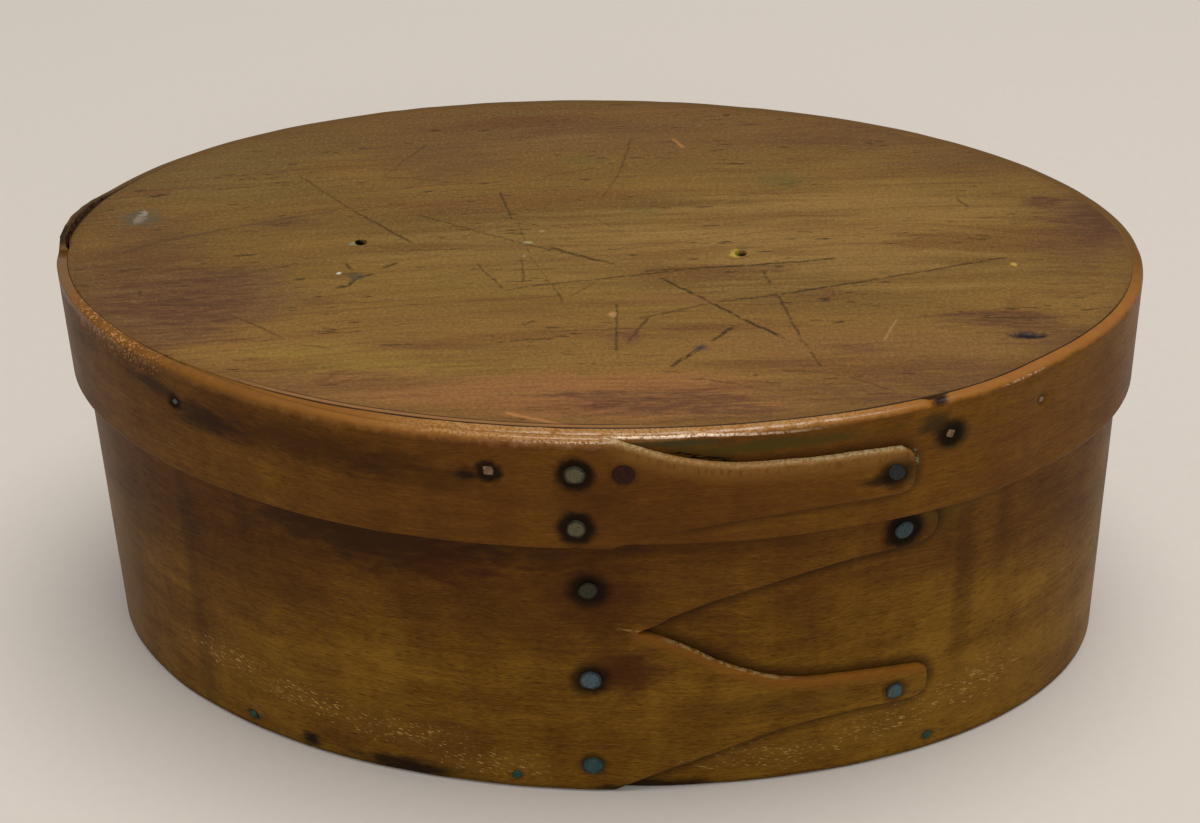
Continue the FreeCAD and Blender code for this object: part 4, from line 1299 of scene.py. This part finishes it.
# Small marks on the board: centre, half sizes, strength and colour.
MARKS = [
    (-49.6, 4.4, 2.6, 2.2, 0.6, (74, 76, 64)), (-49.7, 4.1, 0.8, 1.1, 0.75, (140, 122, 106)),
    (15, -0.4, 0.85, 1, 1, (176, 150, 56)),
    (-25.5, -0.2, 0.7, 0.4, 0.8, (132, 132, 104)), (-25.8, -6.5, 0.3, 0.3, 0.9, (206, 200, 178)),
    (-7, 1, 0.7, 0.35, 0.7, (162, 154, 112)), (-5.8, 3.5, 0.4, 0.3, 0.55, (156, 148, 104)),
    (-7, -2, 0.3, 0.3, 0.6, (160, 152, 110)), (43.8, -1.3, 0.45, 0.4, 0.8, (196, 158, 70)),
    (-2.6, 20.2, 3.4, 1, 0.3, (82, 84, 40)), (4.9, 8.7, 2.6, 0.9, 0.3, (84, 84, 40)),
    (19.3, 16.4, 3.2, 2, 0.45, (84, 84, 36)), (-24, -7.1, 0.9, 1, 0.6, (62, 62, 48)),
    (3.2, -13.5, 0.5, 0.6, 0.85, (176, 128, 78)), (12.4, -19.4, 0.8, 0.7, 0.7, (60, 52, 52)),
    (44.4, -15.4, 2.2, 0.8, 1, (30, 18, 24)), (15.7, 0.9, 0.9, 0.4, 0.5, (80, 76, 36)),
    (5.6, -17.6, 1.2, 1.6, 0.4, (88, 44, 40)), (9, -10, 6, 1.4, 0.35, (134, 84, 52)),
]
# Fresh nicks and long faint lines in the board: two ends, width and colour.
NICKS = [
    ((6.8, 26.2, 8.4, 23.8), 0.3, (176, 116, 60)), ((31.6, -12.8, 30.3, -17.1), 0.2, (158, 124, 72)),
    ((-5.4, -31.9, 0.5, -33.8), 0.3, (184, 124, 72)), ((-49.6, -3.4, -46.9, -1.1), 0.5, (82, 60, 34)),
    ((-46.9, -1.1, -39.1, 2.8), 0.4, (84, 62, 34)), ((-39.1, 2.8, -28.6, 7.2), 0.35, (90, 66, 34)),
    ((-33.5, -16, -10.8, -11.3), 0.25, (108, 70, 34)), ((-11.8, -11.4, -2.5, -10.2), 0.3, (104, 62, 34)),
    ((-18.1, -0.3, -0.8, 0.5), 0.25, (104, 72, 36)), ((-0.8, 0.5, 9.9, 1.8), 0.25, (108, 70, 40)),
]

# The nail holes in millimetres: the radii of their rings of points and of their wall, and depth.
HOLE_RINGS = (0.2, 0.36, 0.46, 0.56, 0.66, 0.9)
HOLE_WALL = (0.38, 0.62)
HOLE_DEPTH = 2.6
BRUISE_HALF = (2.3, 0.5)
BRUISE_DEPTH = 0.16
BRUISE_RINGS = (0.3, 0.6)
BRUISE_STEPS = (0.3, 0.2)
# Scratches deeper than this share are cut in the mesh, to so many millimetres.
CUT_FROM = 0.75
CUT_DEPTH = 0.05
CUT_STEP = 0.6
BOARD_ROWS = (0.04, 0.1, 0.18, 0.5, 1)
BOARD_STEPS = (1.1, 1)


def board_outline(strip):
    outline = Outline()
    places = np.linspace(-HALF_TURN, HALF_TURN, 361)
    turned = places % FULL_TURN
    spread = 0.38 * ease(153, 167, turned) * (1 - ease(182, 185, turned))
    offsets = strip.inner_offset(places) - 0.01 + spread
    points = on_oval(places, offsets - waves(places, 1, 0 * places + 44))
    outline.run(points, CRISP, "rim")
    return outline


def deep_scratches():
    """Each scratch that is cut in the mesh: its start, the step to its end, width and depth."""
    return [(np.array((x1, y1)), np.array((x2 - x1, y2 - y1)), width, depth)
            for x1, y1, x2, y2, width, depth in SCRATCHES if depth > CUT_FROM]


def board_top(points, edge):
    """Height of the board's top at each point, given how far the rim is."""
    top = size("lid_top") - 0.03 - 0.02 * lumps(points, 12, 11) - 0.01 * lumps(points, 3, 12)
    top -= rounding(edge, CRISP)
    for centre in NAIL_HOLES:
        top -= pit(points, centre, *HOLE_WALL, HOLE_DEPTH)
    top -= pit((points - BRUISE) / BRUISE_HALF, (0, 0), 0.5, 1.1, BRUISE_DEPTH)
    for start, step, width, depth in deep_scratches():
        share = np.clip((points - start) @ step / (step @ step), 0, 1)
        far = np.hypot(*(points - start - share[:, None] * step).T)
        top -= CUT_DEPTH * depth * (1 - ease(0, width, far))
    return top


def groove_points():
    """Rows of points along the deeper scratches, so that they are cut in the mesh."""
    rows = []
    for start, step, width, _ in deep_scratches():
        line = evenly([start, start + step], CUT_STEP)
        across = np.array((-step[1], step[0])) / np.hypot(*step)
        rows += [line + across * width * share for share in (-1.1, -0.5, 0, 0.5, 1.1)]
    return np.vstack(rows)


def board_field(outline):
    """Points inside the board: its holes and grooves, rows by its rim, its bruise and a grid."""
    holes = np.vstack([rings(centre, HOLE_RINGS) for centre in NAIL_HOLES]
                      + [rings(BRUISE, BRUISE_RINGS)])
    grooves = thin_out(groove_points(), holes, 0.15)
    rows = outline.rows(BOARD_ROWS)
    bruised = grid(np.array(BRUISE) - (3, 1), np.array(BRUISE) + (3, 1), BRUISE_STEPS)
    bruised = thin_out(bruised, np.vstack([holes, grooves]), 0.12)
    field = grid(outline.points.min(0), outline.points.max(0), BOARD_STEPS)
    field = thin_out(outline.clear(field, 1.3), np.vstack([holes, grooves, bruised]), 0.35)
    return np.vstack([holes, grooves, rows, bruised, field])


def make_lid_board(strip):
    outline = board_outline(strip)
    points, corners = filled(outline, board_field(outline))
    edge = outline.nearest(points)[0]
    front = np.column_stack([points, board_top(points, edge)])
    foot = 0 * points[:, 0] + size("body_height") + 0.02 + rounding(edge, 0.1)
    back = np.column_stack([points, foot])
    marks = {"to_rim": np.tile(edge, 2), "inside": np.repeat([0, 1], len(points))}
    piece = closed_blank("lid_board_worn", corners, front, back, marks)
    smooth(piece.data, 50)
    return piece


def lay_board_ground(wood, bent):
    """The board's worn wood, along its bent grain: tints, growth lines, fibres and specks."""
    x, y, _ = wood.axes()
    wood.broad = wood.drawn_out(x * 0.03, bent * 0.09, 9.9)
    warm = wood.drawn_out(x * 0.03, bent * 0.2, 12.4, 4, 0.6)
    streaks = wood.drawn_out(x * 0.03, bent * 0.9, 4.2, 5, 0.65)
    hair = wood.drawn_out(x * 0.1, bent * 2.8, 1.3, 4, 0.65)
    fine = wood.drawn_out(x * 0.6, bent * 6, 8.1, 3, 0.6)
    patchy = wood.drawn_out(x * 0.05, bent * 0.2, 2.4, 2, 0.5)
    speckle = wood.noise(wood.place, 2.6, 3, 0.75)
    dashes = wood.drawn_out(x * 0.4, bent * 2.4, 5.4, 2, 0.5)
    wood.colour = wood.mix(wood.broad.ease(0.3, 0.7), paint("board_olive"), paint("board_ochre"))
    wood.lay(y.ease(0, -28) * 0.45, rgb(150, 106, 50))
    wood.lay(y.ease(8, 30) * 0.3, rgb(102, 70, 36))
    wood.lay(x.ease(-38, -54) * 0.35, rgb(98, 68, 36))
    wood.lay(warm.ease(0.5, 0.66) * 0.4, paint("board_red"))
    wood.lay_blots(wood.flat(x, y), TINTS, (warm - 0.5) * 3 + (streaks - 0.5) * 1.5)
    wood.lay(streaks.ease(0.53, 0.7) * 0.3, rgb(100, 62, 30))
    wood.lay(streaks.ease(0.46, 0.3) * 0.25, rgb(138, 112, 52))
    wide = (wood.drawn_out(x * 0.01, bent * 0.07, 6.6, 2) * 9 + bent * 0.23).fraction()
    narrow = (wood.drawn_out(x * 0.02, bent * 0.1, 3.6) * 7 + bent * 0.52).fraction()
    wide = wide.ease(0.84, 0.97) * patchy.ease(0.36, 0.6) * 0.9
    lines = wide.most(narrow.ease(0.86, 0.96) * hair.ease(0.42, 0.58) * 0.6)
    wood.lay(lines * 0.4, rgb(98, 54, 26))
    wood.lay(hair.ease(0.52, 0.7) * 0.35, rgb(88, 60, 26))
    wood.lay(fine.ease(0.5, 0.72) * 0.35, rgb(84, 58, 26))
    wood.lay(speckle.ease(0.48, 0.66) * 0.3, rgb(74, 50, 26))
    wood.lay(speckle.ease(0.48, 0.34) * 0.24, rgb(168, 134, 76))
    wood.lay(dashes.ease(0.63, 0.71) * patchy.ease(0.42, 0.56) * 0.75, rgb(50, 34, 14))
    wood.relief = fine * 0.5 + hair * 0.4 + streaks * 0.3 - lines * 0.3


def lay_stains(wood, bent):
    x, y, _ = wood.axes()
    flat = wood.flat(x, y)
    torn = wood.drawn_out(x * 0.1, bent, 2.7, 5, 0.72)
    threads = wood.drawn_out(x * 0.45, bent * 2.6, 7.3, 4, 0.7)
    stained = most_of(wood.blot(flat, oval, (torn - 0.5) * 3) * strength
                      for *oval, strength in STAINS)
    wood.lay(stained * (threads.ease(0.38, 0.62) * 0.55 + 0.4), paint("stain"))


def lay_damage(wood):
    """Scratches, marks, nicks and nail holes, all a little ragged. Returns the scratches."""
    ragged = wood.ragged(0.32, 1.5)
    sheet = wood.flat(ragged.part(0), ragged.part(1))
    crumbs = wood.noise(wood.place, 1.6, 3, 0.75)
    cut = most_of(wood.stroke(sheet, ends, width * 1.25) * depth
                  for *ends, width, depth in SCRATCHES) * crumbs.ease(0.3, 0.52)
    wood.lay(cut * 0.8, paint("scratch"))
    wood.lay_blots(sheet, MARKS, (crumbs - 0.5) * 1.6)
    for ends, width, colour in NICKS:
        wood.lay(wood.stroke(sheet, ends, width) * 0.6, rgb(*colour))
    # The nail holes, painted near-black: the shade deep inside them.
    wood.lay(most_of(sheet.distance((*centre, 1)).ease(0.66, 0.5) for centre in NAIL_HOLES),
             rgb(12, 9, 5))
    return cut


def edge_board(wood):
    """The board's rim: dirty all round, and split along the front."""
    x, y, _ = wood.axes()
    to_rim = wood.mark("to_rim")
    wood.lay(to_rim.ease(2.2, 0.2) * 0.25, rgb(84, 56, 26))
    wood.lay(to_rim.ease(0.4, 0.1) * x.ease(-51, -54.5) * y.ease(-3, 0) * 0.9, rgb(40, 22, 14))
    edged = y.ease(0, -12) * x.ease(-36, -24)
    wood.lay(to_rim.ease(0.14, 0.05) * (edged * 0.8 + 0.05), rgb(46, 27, 11))
    split = edged * x.ease(14, 2)
    wood.lay(to_rim.ease(0.55, 0.45) * to_rim.ease(0.08, 0.16) * split * 0.7, rgb(150, 104, 62))
    wood.lay(abs(to_rim - 0.58).ease(0.1, 0.04) * split * 0.8, rgb(52, 31, 16))


def lid_board_wood():
    wood = Finish("lid_board_wood")
    x, y, _ = wood.axes()
    drift = wood.drawn_out(x * 0.02, y * 0.05, 0.3, 2) - 0.5
    bent = y - x * 0.13 + x * x * 0.0007 + drift * 5
    lay_board_ground(wood, bent)
    lay_stains(wood, bent)
    cut = lay_damage(wood)
    edge_board(wood)
    wood.lay(wood.mark("inside").ease(0.4, 0.9), paint("raw_inside"))
    roughness = 0.5 + (wood.broad - 0.5) * -0.2 + cut * 0.2
    return wood.close(roughness, wood.relief, 0.04, Specular_IOR_Level=0.15)


def bottom_board_wood():
    wood = Finish("bottom_board_wood")
    x, y, _ = wood.axes()
    streaks = wood.drawn_out(x * 0.02, y * 0.6, 1.2, 5, 0.6, 0.3)
    fine = wood.drawn_out(x * 0.06, y * 4, 2.1, 4, 0.65)
    wood.colour = wood.mix(streaks.ease(0.35, 0.7), paint("raw_inside"), rgb(138, 98, 56))
    wood.lay(fine.ease(0.5, 0.75) * 0.4, rgb(108, 74, 40))
    return wood.close(0.55 + (fine - 0.5) * 0.2, fine + streaks, 0.05)


# --- tacks, pins, plug and nail ------------------------------------------------------------


def turned_shape(name, profile, sides, squareness=0):
    """A closed shape turned about Z from radii and heights, in millimetres."""
    ring = circle(sides)
    power = 2 + squareness
    ring = ring * ((abs(ring) ** power).sum(axis=1) ** (-1 / power))[:, None]
    verts = [(0, 0, profile[0][1])]
    for radius, rise in profile[1:-1]:
        verts += [(radius * x, radius * y, rise) for x, y in ring]
    verts.append((0, 0, profile[-1][1]))
    last, top = len(verts) - 1, len(verts) - 1 - sides
    steps = [(i, (i + 1) % sides) for i in range(sides)]
    faces = [(0, 1 + j, 1 + i) for i, j in steps]
    faces += [(low + i, low + j, low + sides + j, low + sides + i)
              for low in range(1, top, sides) for i, j in steps]
    faces += [(last, top + i, top + j) for i, j in steps]
    mesh = bpy.data.meshes.new(name)
    mesh.from_pydata([tuple(v * MM for v in vert) for vert in verts], [], faces)
    carry(mesh, "reach", [math.hypot(x, y) for x, y, _ in verts])
    return placed(name, mesh)


TACK_PROFILE = [(0, -1.45), (0.42, -1.4), (0.5, -0.2), (0.9, -0.13), (1.2, -0.1), (1.26, 0),
                (1.24, 0.08), (1.12, 0.15), (0.8, 0.19), (0.4, 0.205), (0, 0.21)]
CLINCH_PROFILE = [(0, -0.2), (0.5, -0.2), (0.78, -0.1), (0.84, 0), (0.78, 0.1), (0.6, 0.16),
                  (0.3, 0.19), (0, 0.2)]
PIN_PROFILE = [(0, -6.5), (0.34, -6.45), (0.46, -5.8), (0.52, -3), (0.52, -0.12), (0.5, 0),
               (0.42, 0.05), (0.2, 0.06), (0, 0.06)]
# The widths that those profiles are drawn to, in millimetres.
TACK_WIDTH = 2.5
PIN_WIDTH = 1.05


def fastenings(name, shape, settings, hammering, grain, seed, finish):
    """One mesh of like fastenings. Each setting is point, facing, girth, turn, patina and soot."""
    points, facing, girth, turned, patina, soot = zip(*settings)
    mesh = bpy.data.meshes.new(name)
    mesh.from_pydata([tuple(c * MM for c in point) for point in points], [], [])
    carry(mesh, "facing", facing, "FLOAT_VECTOR")
    carry(mesh, "girth", girth, "FLOAT_VECTOR")
    for label, values in (("turned", turned), ("patina", patina), ("soot", soot)):
        carry(mesh, label, values)
    piece = placed(name, mesh)
    tree = bpy.data.node_groups.get("fastenings on points") or fastening_tree()
    shaped_by(tree, piece, {"Fastening": shape, "Hammering": hammering * MM,
                            "Hammer Grain": grain * MM, "Seed": seed, "Finish": finish})
    bpy.data.objects.remove(shape)
    smooth(piece.data, 55)
    return piece


def set_at(strip, node, stand, girth, turned, patina, soot=0):
    """A fastening's setting, from its node: stand is how far it is drawn out of the band."""
    place, offset, rise = fastening_place(strip, node)
    point = (*on_oval(place, offset + stand).tolist(), rise)
    return point, outward_at(place, offset), girth, turned, patina, soot


CLINCH_GIRTH = (1.15, 0.8, 0.6)
CLINCH_PATINA = 0.4


def clinched_at(strip, node, turned):
    """The setting of a tack's clinched end, on the inner face."""
    place, _, rise = fastening_place(strip, node)
    inner = float(strip.inner(np.array([place]))[0])
    point = (*on_oval(place, inner).tolist(), rise)
    return point, -outward_at(place, inner), CLINCH_GIRTH, turned, CLINCH_PATINA, 0


def tack_metal():
    finish = Finish("tack_metal")
    patina = finish.mark("patina")
    mottle = finish.noise(finish.place, 1.6, 4, 0.65)
    crust = finish.noise(finish.place, 4.5, 3, 0.7)
    blue = patina + (mottle - 0.5) * 0.7
    finish.colour = finish.mix(patina.ease(-0.5, 0), rgb(48, 46, 32), paint("tack_dark"))
    finish.lay(blue.ease(0.15, 0.55), paint("tack_blue"))
    finish.lay((blue + (crust - 0.5) * 0.6).ease(0.65, 1), paint("verdigris"))
    finish.lay(crust.ease(0.5, 0.32) * 0.75, rgb(30, 30, 23))
    finish.lay(crust.ease(0.68, 0.76) * 0.4, rgb(150, 156, 144))
    grimy = (finish.mark("reach") + (mottle - 0.5) * 0.5).ease(0.75, 1.15) * 0.8
    finish.lay(grimy.most(finish.mark("soot")), rgb(18, 14, 9))
    return finish.close(0.5 + (mottle - 0.5) * 0.3, crust + mottle, 0.05,
                        patina.ease(0.3, 0) * 0.4, Specular_IOR_Level=0.2)


def pin_finish(name, base, dark, metallic=0):
    """The finish of a pin. A patina over a half turns it green-blue, and under it, pale."""
    finish = Finish(name)
    patina = finish.mark("patina")
    seen = finish.noise(finish.place, 3.2, 4, 0.7)
    finish.colour = finish.mix(seen.ease(0.35, 0.7), dark, base)
    finish.lay(patina.ease(0.55, 0.9) * 0.85, rgb(58, 92, 84))
    finish.lay(patina.ease(0.45, 0.1) * 0.8, rgb(176, 168, 152))
    finish.lay(finish.noise(finish.place, 7.5, 2).ease(0.58, 0.7) * 0.5, rgb(40, 30, 20))
    return finish.close(0.55 + (seen - 0.5) * 0.3, seen, 0.05, metallic, Specular_IOR_Level=0.1)


# --- operators -----------------------------------------------------------------------------

# How each tack shows: its two shares of the full head, its patina and its soot.
TACK_LOOKS = {
    "box": [(0.9, 0.84, 0.85, 0.5), (0.9, 0.88, 0.55, 0.28), (0.78, 0.8, -0.3, 0.45),
            (0.8, 0.74, 0.58, 0.6), (0.78, 0.72, 0.55, 0.35)],
    "lid": [(0.84, 0.8, -0.05, 0.15), (0.82, 0.76, -0.07, 0.15), (0.74, 0.6, 0.62, 0.9)],
}

# How each pin of the lid shows: its share of the full width, its turn and its patina.
PIN_LOOKS = [(0.5, 0.3, 0.95), (0.95, 0, 0.5), (0.8, 0.1, 0.45), (0.5, 0.5, 0.34), (0.9, 0.7, 0.5),
             (0.7, 1.1, 0.6), (0.9, 0.4, 0.45), (0.6, 0.9, 0.5), (0.8, 0.2, 0.4)]

# How far each kind is sunk below the band's face, in millimetres.
TACK_STAND = -0.07
LID_PIN_STAND = -0.12
BOTTOM_PIN_STAND = -0.1
PLUG_STAND = -0.1
NAIL_STAND = -0.01


def keep(piece, body, nodes=()):
    """Hands a piece over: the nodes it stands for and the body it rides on."""
    if nodes:
        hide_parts(*nodes)
    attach(piece, body)


class MakeBodyBand(bpy.types.Operator):
    """Make the body's strip, with its two fingers"""

    bl_idname = "oval_box.body_band"
    bl_label = "Body Band"

    def execute(self, context):
        strip = body_strip()
        held = seats(strip, BODY_TACKS, TACK_SEAT) + seats(strip, BOTTOM_PINS, BOTTOM_PIN_SEAT)
        piece = band("body_band_worn", strip, body_outline(strip), held)
        bend(piece, body_wood(strip))
        keep(piece, "box", ["body_band"])
        return {"FINISHED"}


class MakeLidBand(bpy.types.Operator):
    """Make the lid's strip, with its finger and its sprung end"""

    bl_idname = "oval_box.lid_band"
    bl_label = "Lid Band"

    def execute(self, context):
        strip = lid_strip()
        held = (seats(strip, LID_TACKS, TACK_SEAT) + seats(strip, LID_PINS, LID_PIN_SEAT)
                + seats(strip, ["lid_plug"], PLUG_SEAT))
        piece = band("lid_band_worn", strip, lid_outline(strip), held, gouged, opened)
        bend(piece, lid_wood(strip))
        keep(piece, "lid", ["lid_band"])
        return {"FINISHED"}


class MakeBoards(bpy.types.Operator):
    """Make the lid's board, and finish the bottom's"""

    bl_idname = "oval_box.boards"
    bl_label = "Boards"

    def execute(self, context):
        piece = make_lid_board(lid_strip())
        piece.data.materials.append(lid_board_wood())
        keep(piece, "lid", ["lid_board"])
        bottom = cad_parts["bottom_board"]
        bottom.data.materials.clear()
        bottom.data.materials.append(bottom_board_wood())
        return {"FINISHED"}


class MakeTacks(bpy.types.Operator):
    """Make the tacks of both laps, with their clinched ends"""

    bl_idname = "oval_box.tacks"
    bl_label = "Tacks"

    def execute(self, context):
        metal = tack_metal()
        head = size("tack_head") / TACK_WIDTH
        for body, strip, nodes in (("box", body_strip(), BODY_TACKS),
                                   ("lid", lid_strip(), LID_TACKS)):
            looks = zip(nodes, TACK_LOOKS[body])
            heads = [set_at(strip, node, TACK_STAND, (head * wide, head * high, 1), i * 1.3,
                            patina, soot)
                     for i, (node, (wide, high, patina, soot)) in enumerate(looks)]
            shape = turned_shape("tack", TACK_PROFILE, 24, 0.3)
            piece = fastenings(f"{body}_tacks", shape, heads, 0.3, 1.1, 3, metal)
            keep(piece, body, nodes)
            ends = [clinched_at(strip, node, i * 0.9) for i, node in enumerate(nodes)]
            shape = turned_shape("clinch", CLINCH_PROFILE, 16)
            piece = fastenings(f"{body}_tack_clinches", shape, ends, 0.2, 0.8, 5, metal)
            keep(piece, body)
        return {"FINISHED"}


def make_pins(name, nodes, settings, shape, blows, body, slot, *look):
    """One mesh of like pins. Blows are the depth, grain and seed of their hammering."""
    piece = fastenings(name, turned_shape("pin", PIN_PROFILE, *shape), settings, *blows,
                       pin_finish(slot, *look))
    keep(piece, body, nodes)


class MakePins(bpy.types.Operator):
    """Make the pins of the boards, the plug and the nail in the lid"""

    bl_idname = "oval_box.pins"
    bl_label = "Pins"

    def execute(self, context):
        lid, body = lid_strip(), body_strip()
        width = size("lid_pin") / PIN_WIDTH
        pins = [set_at(lid, node, LID_PIN_STAND, (width * share, width * share, 1), turned, patina)
                for node, (share, turned, patina) in zip(LID_PINS, PIN_LOOKS)]
        make_pins("lid_pins", LID_PINS, pins, (16, 5), (0.12, 0.7, 7),
                  "lid", "pin_wood", paint("pin_wood"), rgb(96, 70, 50))
        width = size("bottom_pin") / PIN_WIDTH
        pins = [set_at(body, node, BOTTOM_PIN_STAND, (width, width, 1), i * 0.7, 0.6)
                for i, node in enumerate(BOTTOM_PINS)]
        make_pins("bottom_pins", BOTTOM_PINS, pins, (16, 1), (0.16, 0.7, 8),
                  "box", "bottom_pin_metal", paint("verdigris"), rgb(40, 60, 50), 0.3)
        plug = set_at(lid, "lid_plug", PLUG_STAND, (2.1, 2.1, 1), 0.4, 0.5)
        make_pins("lid_plug_worn", ["lid_plug"], [plug], (20, 0.2), (0.14, 0.9, 9),
                  "lid", "plug_wood", paint("plug_wood"), rgb(40, 18, 8))
        low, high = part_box("lid_top_nail")
        middle = (low + high) / 2 / MM
        point = (middle.x, middle.y, high.z / MM + NAIL_STAND)
        nail = (point, Vector((0, 0, 1)), (1.2, 1.3, 0.5), 0.6, 0.3, 0)
        make_pins("lid_top_nail_worn", ["lid_top_nail"], [nail], (16, 0.4), (0.4, 0.9, 11),
                  "lid", "nail_metal", rgb(144, 126, 112), rgb(84, 72, 56), 0.1)
        return {"FINISHED"}


# The soft light: each lamp's place, width, power and colour. All face the same point.
LAMPS = {
    "key": ((0.1, 0, 0.85), 0.6, 4.6, (1, 0.98, 0.95)),
    "fill": ((0.12, -0.82, 0.5), 0.3, 2, (0.98, 0.99, 1)),
}
LIT_POINT = Vector((0, 0, 0.02))
# The room's own light on the box, and how much brighter it looks behind it.
ROOM_LIGHT = 0.35
ROOM_SEEN = 0.45
FLOOR_HALF = 4
EYE = (0.021834, -0.213284, 0.164446)
EYE_TURN = (56.92697, 1.24759, 4.93846)
EYE_LENS = 69.728
EYE_SENSOR = 36


def lamp(name, place, width, power, shade):
    light = bpy.data.lights.new(name, "AREA")
    light.shape = "DISK"
    light.size = width
    light.energy = power
    light.color = shade
    item = placed(name, light)
    item.location = place
    item.rotation_euler = (LIT_POINT - Vector(place)).to_track_quat("-Z", "Y").to_euler()


def floor_paint():
    finish = Finish("floor_paint")
    speckle = finish.noise(finish.place, 0.8, 3)
    base = paint("floor")
    dull = tuple(c * 0.94 for c in base[:3]) + (1,)
    finish.colour = finish.mix(speckle, dull, base)
    return finish.close(0.9, speckle, 0.02)


def make_floor():
    mesh = bpy.data.meshes.new("floor")
    corners = [(x * FLOOR_HALF, y * FLOOR_HALF, 0) for x, y in ((-1, -1), (1, -1), (1, 1), (-1, 1))]
    mesh.from_pydata(corners, [], [(0, 1, 2, 3)])
    mesh.materials.append(floor_paint())
    placed("floor", mesh)


def light_room(scene):
    """Plain grey light from all sides."""
    world = bpy.data.worlds.new("room")
    scene.world = world
    world.use_nodes = True
    world.node_tree.nodes.clear()
    tree = Tree(world.node_tree)
    seen = tree.node("ShaderNodeLightPath", {}, {}, "Is Camera Ray")
    light = tree.node("ShaderNodeBackground", {}, {"Color": (0.9, 0.9, 0.9, 1),
                                                   "Strength": seen * ROOM_SEEN + ROOM_LIGHT})
    tree.node("ShaderNodeOutputWorld", {}, {"Surface": light}, None)


def make_camera(scene):
    eye = bpy.data.cameras.new("camera")
    eye.lens = EYE_LENS
    eye.sensor_width = EYE_SENSOR
    camera = placed("camera", eye)
    camera.location = EYE
    camera.rotation_euler = Euler([math.radians(turn) for turn in EYE_TURN])
    scene.camera = camera


class MakeStage(bpy.types.Operator):
    """Set up the pale floor, the soft light and the camera"""

    bl_idname = "oval_box.stage"
    bl_label = "Stage"

    def execute(self, context):
        make_floor()
        for name, settings in LAMPS.items():
            lamp(name, *settings)
        light_room(context.scene)
        make_camera(context.scene)
        context.scene.view_settings.view_transform = "Standard"
        return {"FINISHED"}


OPERATORS = (MakeBodyBand, MakeLidBand, MakeBoards, MakeTacks, MakePins, MakeStage)


class OvalBoxPanel(bpy.types.Panel):
    """Lists the pieces of the box"""

    bl_idname = "OVALBOX_PT_pieces"
    bl_label = "Oval Box"
    bl_space_type = "VIEW_3D"
    bl_region_type = "UI"
    bl_category = "Oval Box"

    def draw(self, context):
        for operator in OPERATORS:
            self.layout.operator(operator.bl_idname)
        for group in (context.scene.oval_box_sizes, context.scene.oval_box_colours):
            for name in group.bl_rna.properties.keys():
                if name not in ("rna_type", "name"):
                    self.layout.prop(group, name)


CLASSES = (BoxSizes, BoxColours, *OPERATORS, OvalBoxPanel)


def register():
    for item in CLASSES:
        bpy.utils.register_class(item)
    bpy.types.Scene.oval_box_sizes = PointerProperty(type=BoxSizes)
    bpy.types.Scene.oval_box_colours = PointerProperty(type=BoxColours)


def unregister():
    del bpy.types.Scene.oval_box_colours
    del bpy.types.Scene.oval_box_sizes
    for item in reversed(CLASSES):
        bpy.utils.unregister_class(item)


def main():
    register()
    bpy.ops.oval_box.body_band()
    bpy.ops.oval_box.lid_band()
    bpy.ops.oval_box.boards()
    bpy.ops.oval_box.tacks()
    bpy.ops.oval_box.pins()
    bpy.ops.oval_box.stage()


if __name__ == "__main__":
    main()
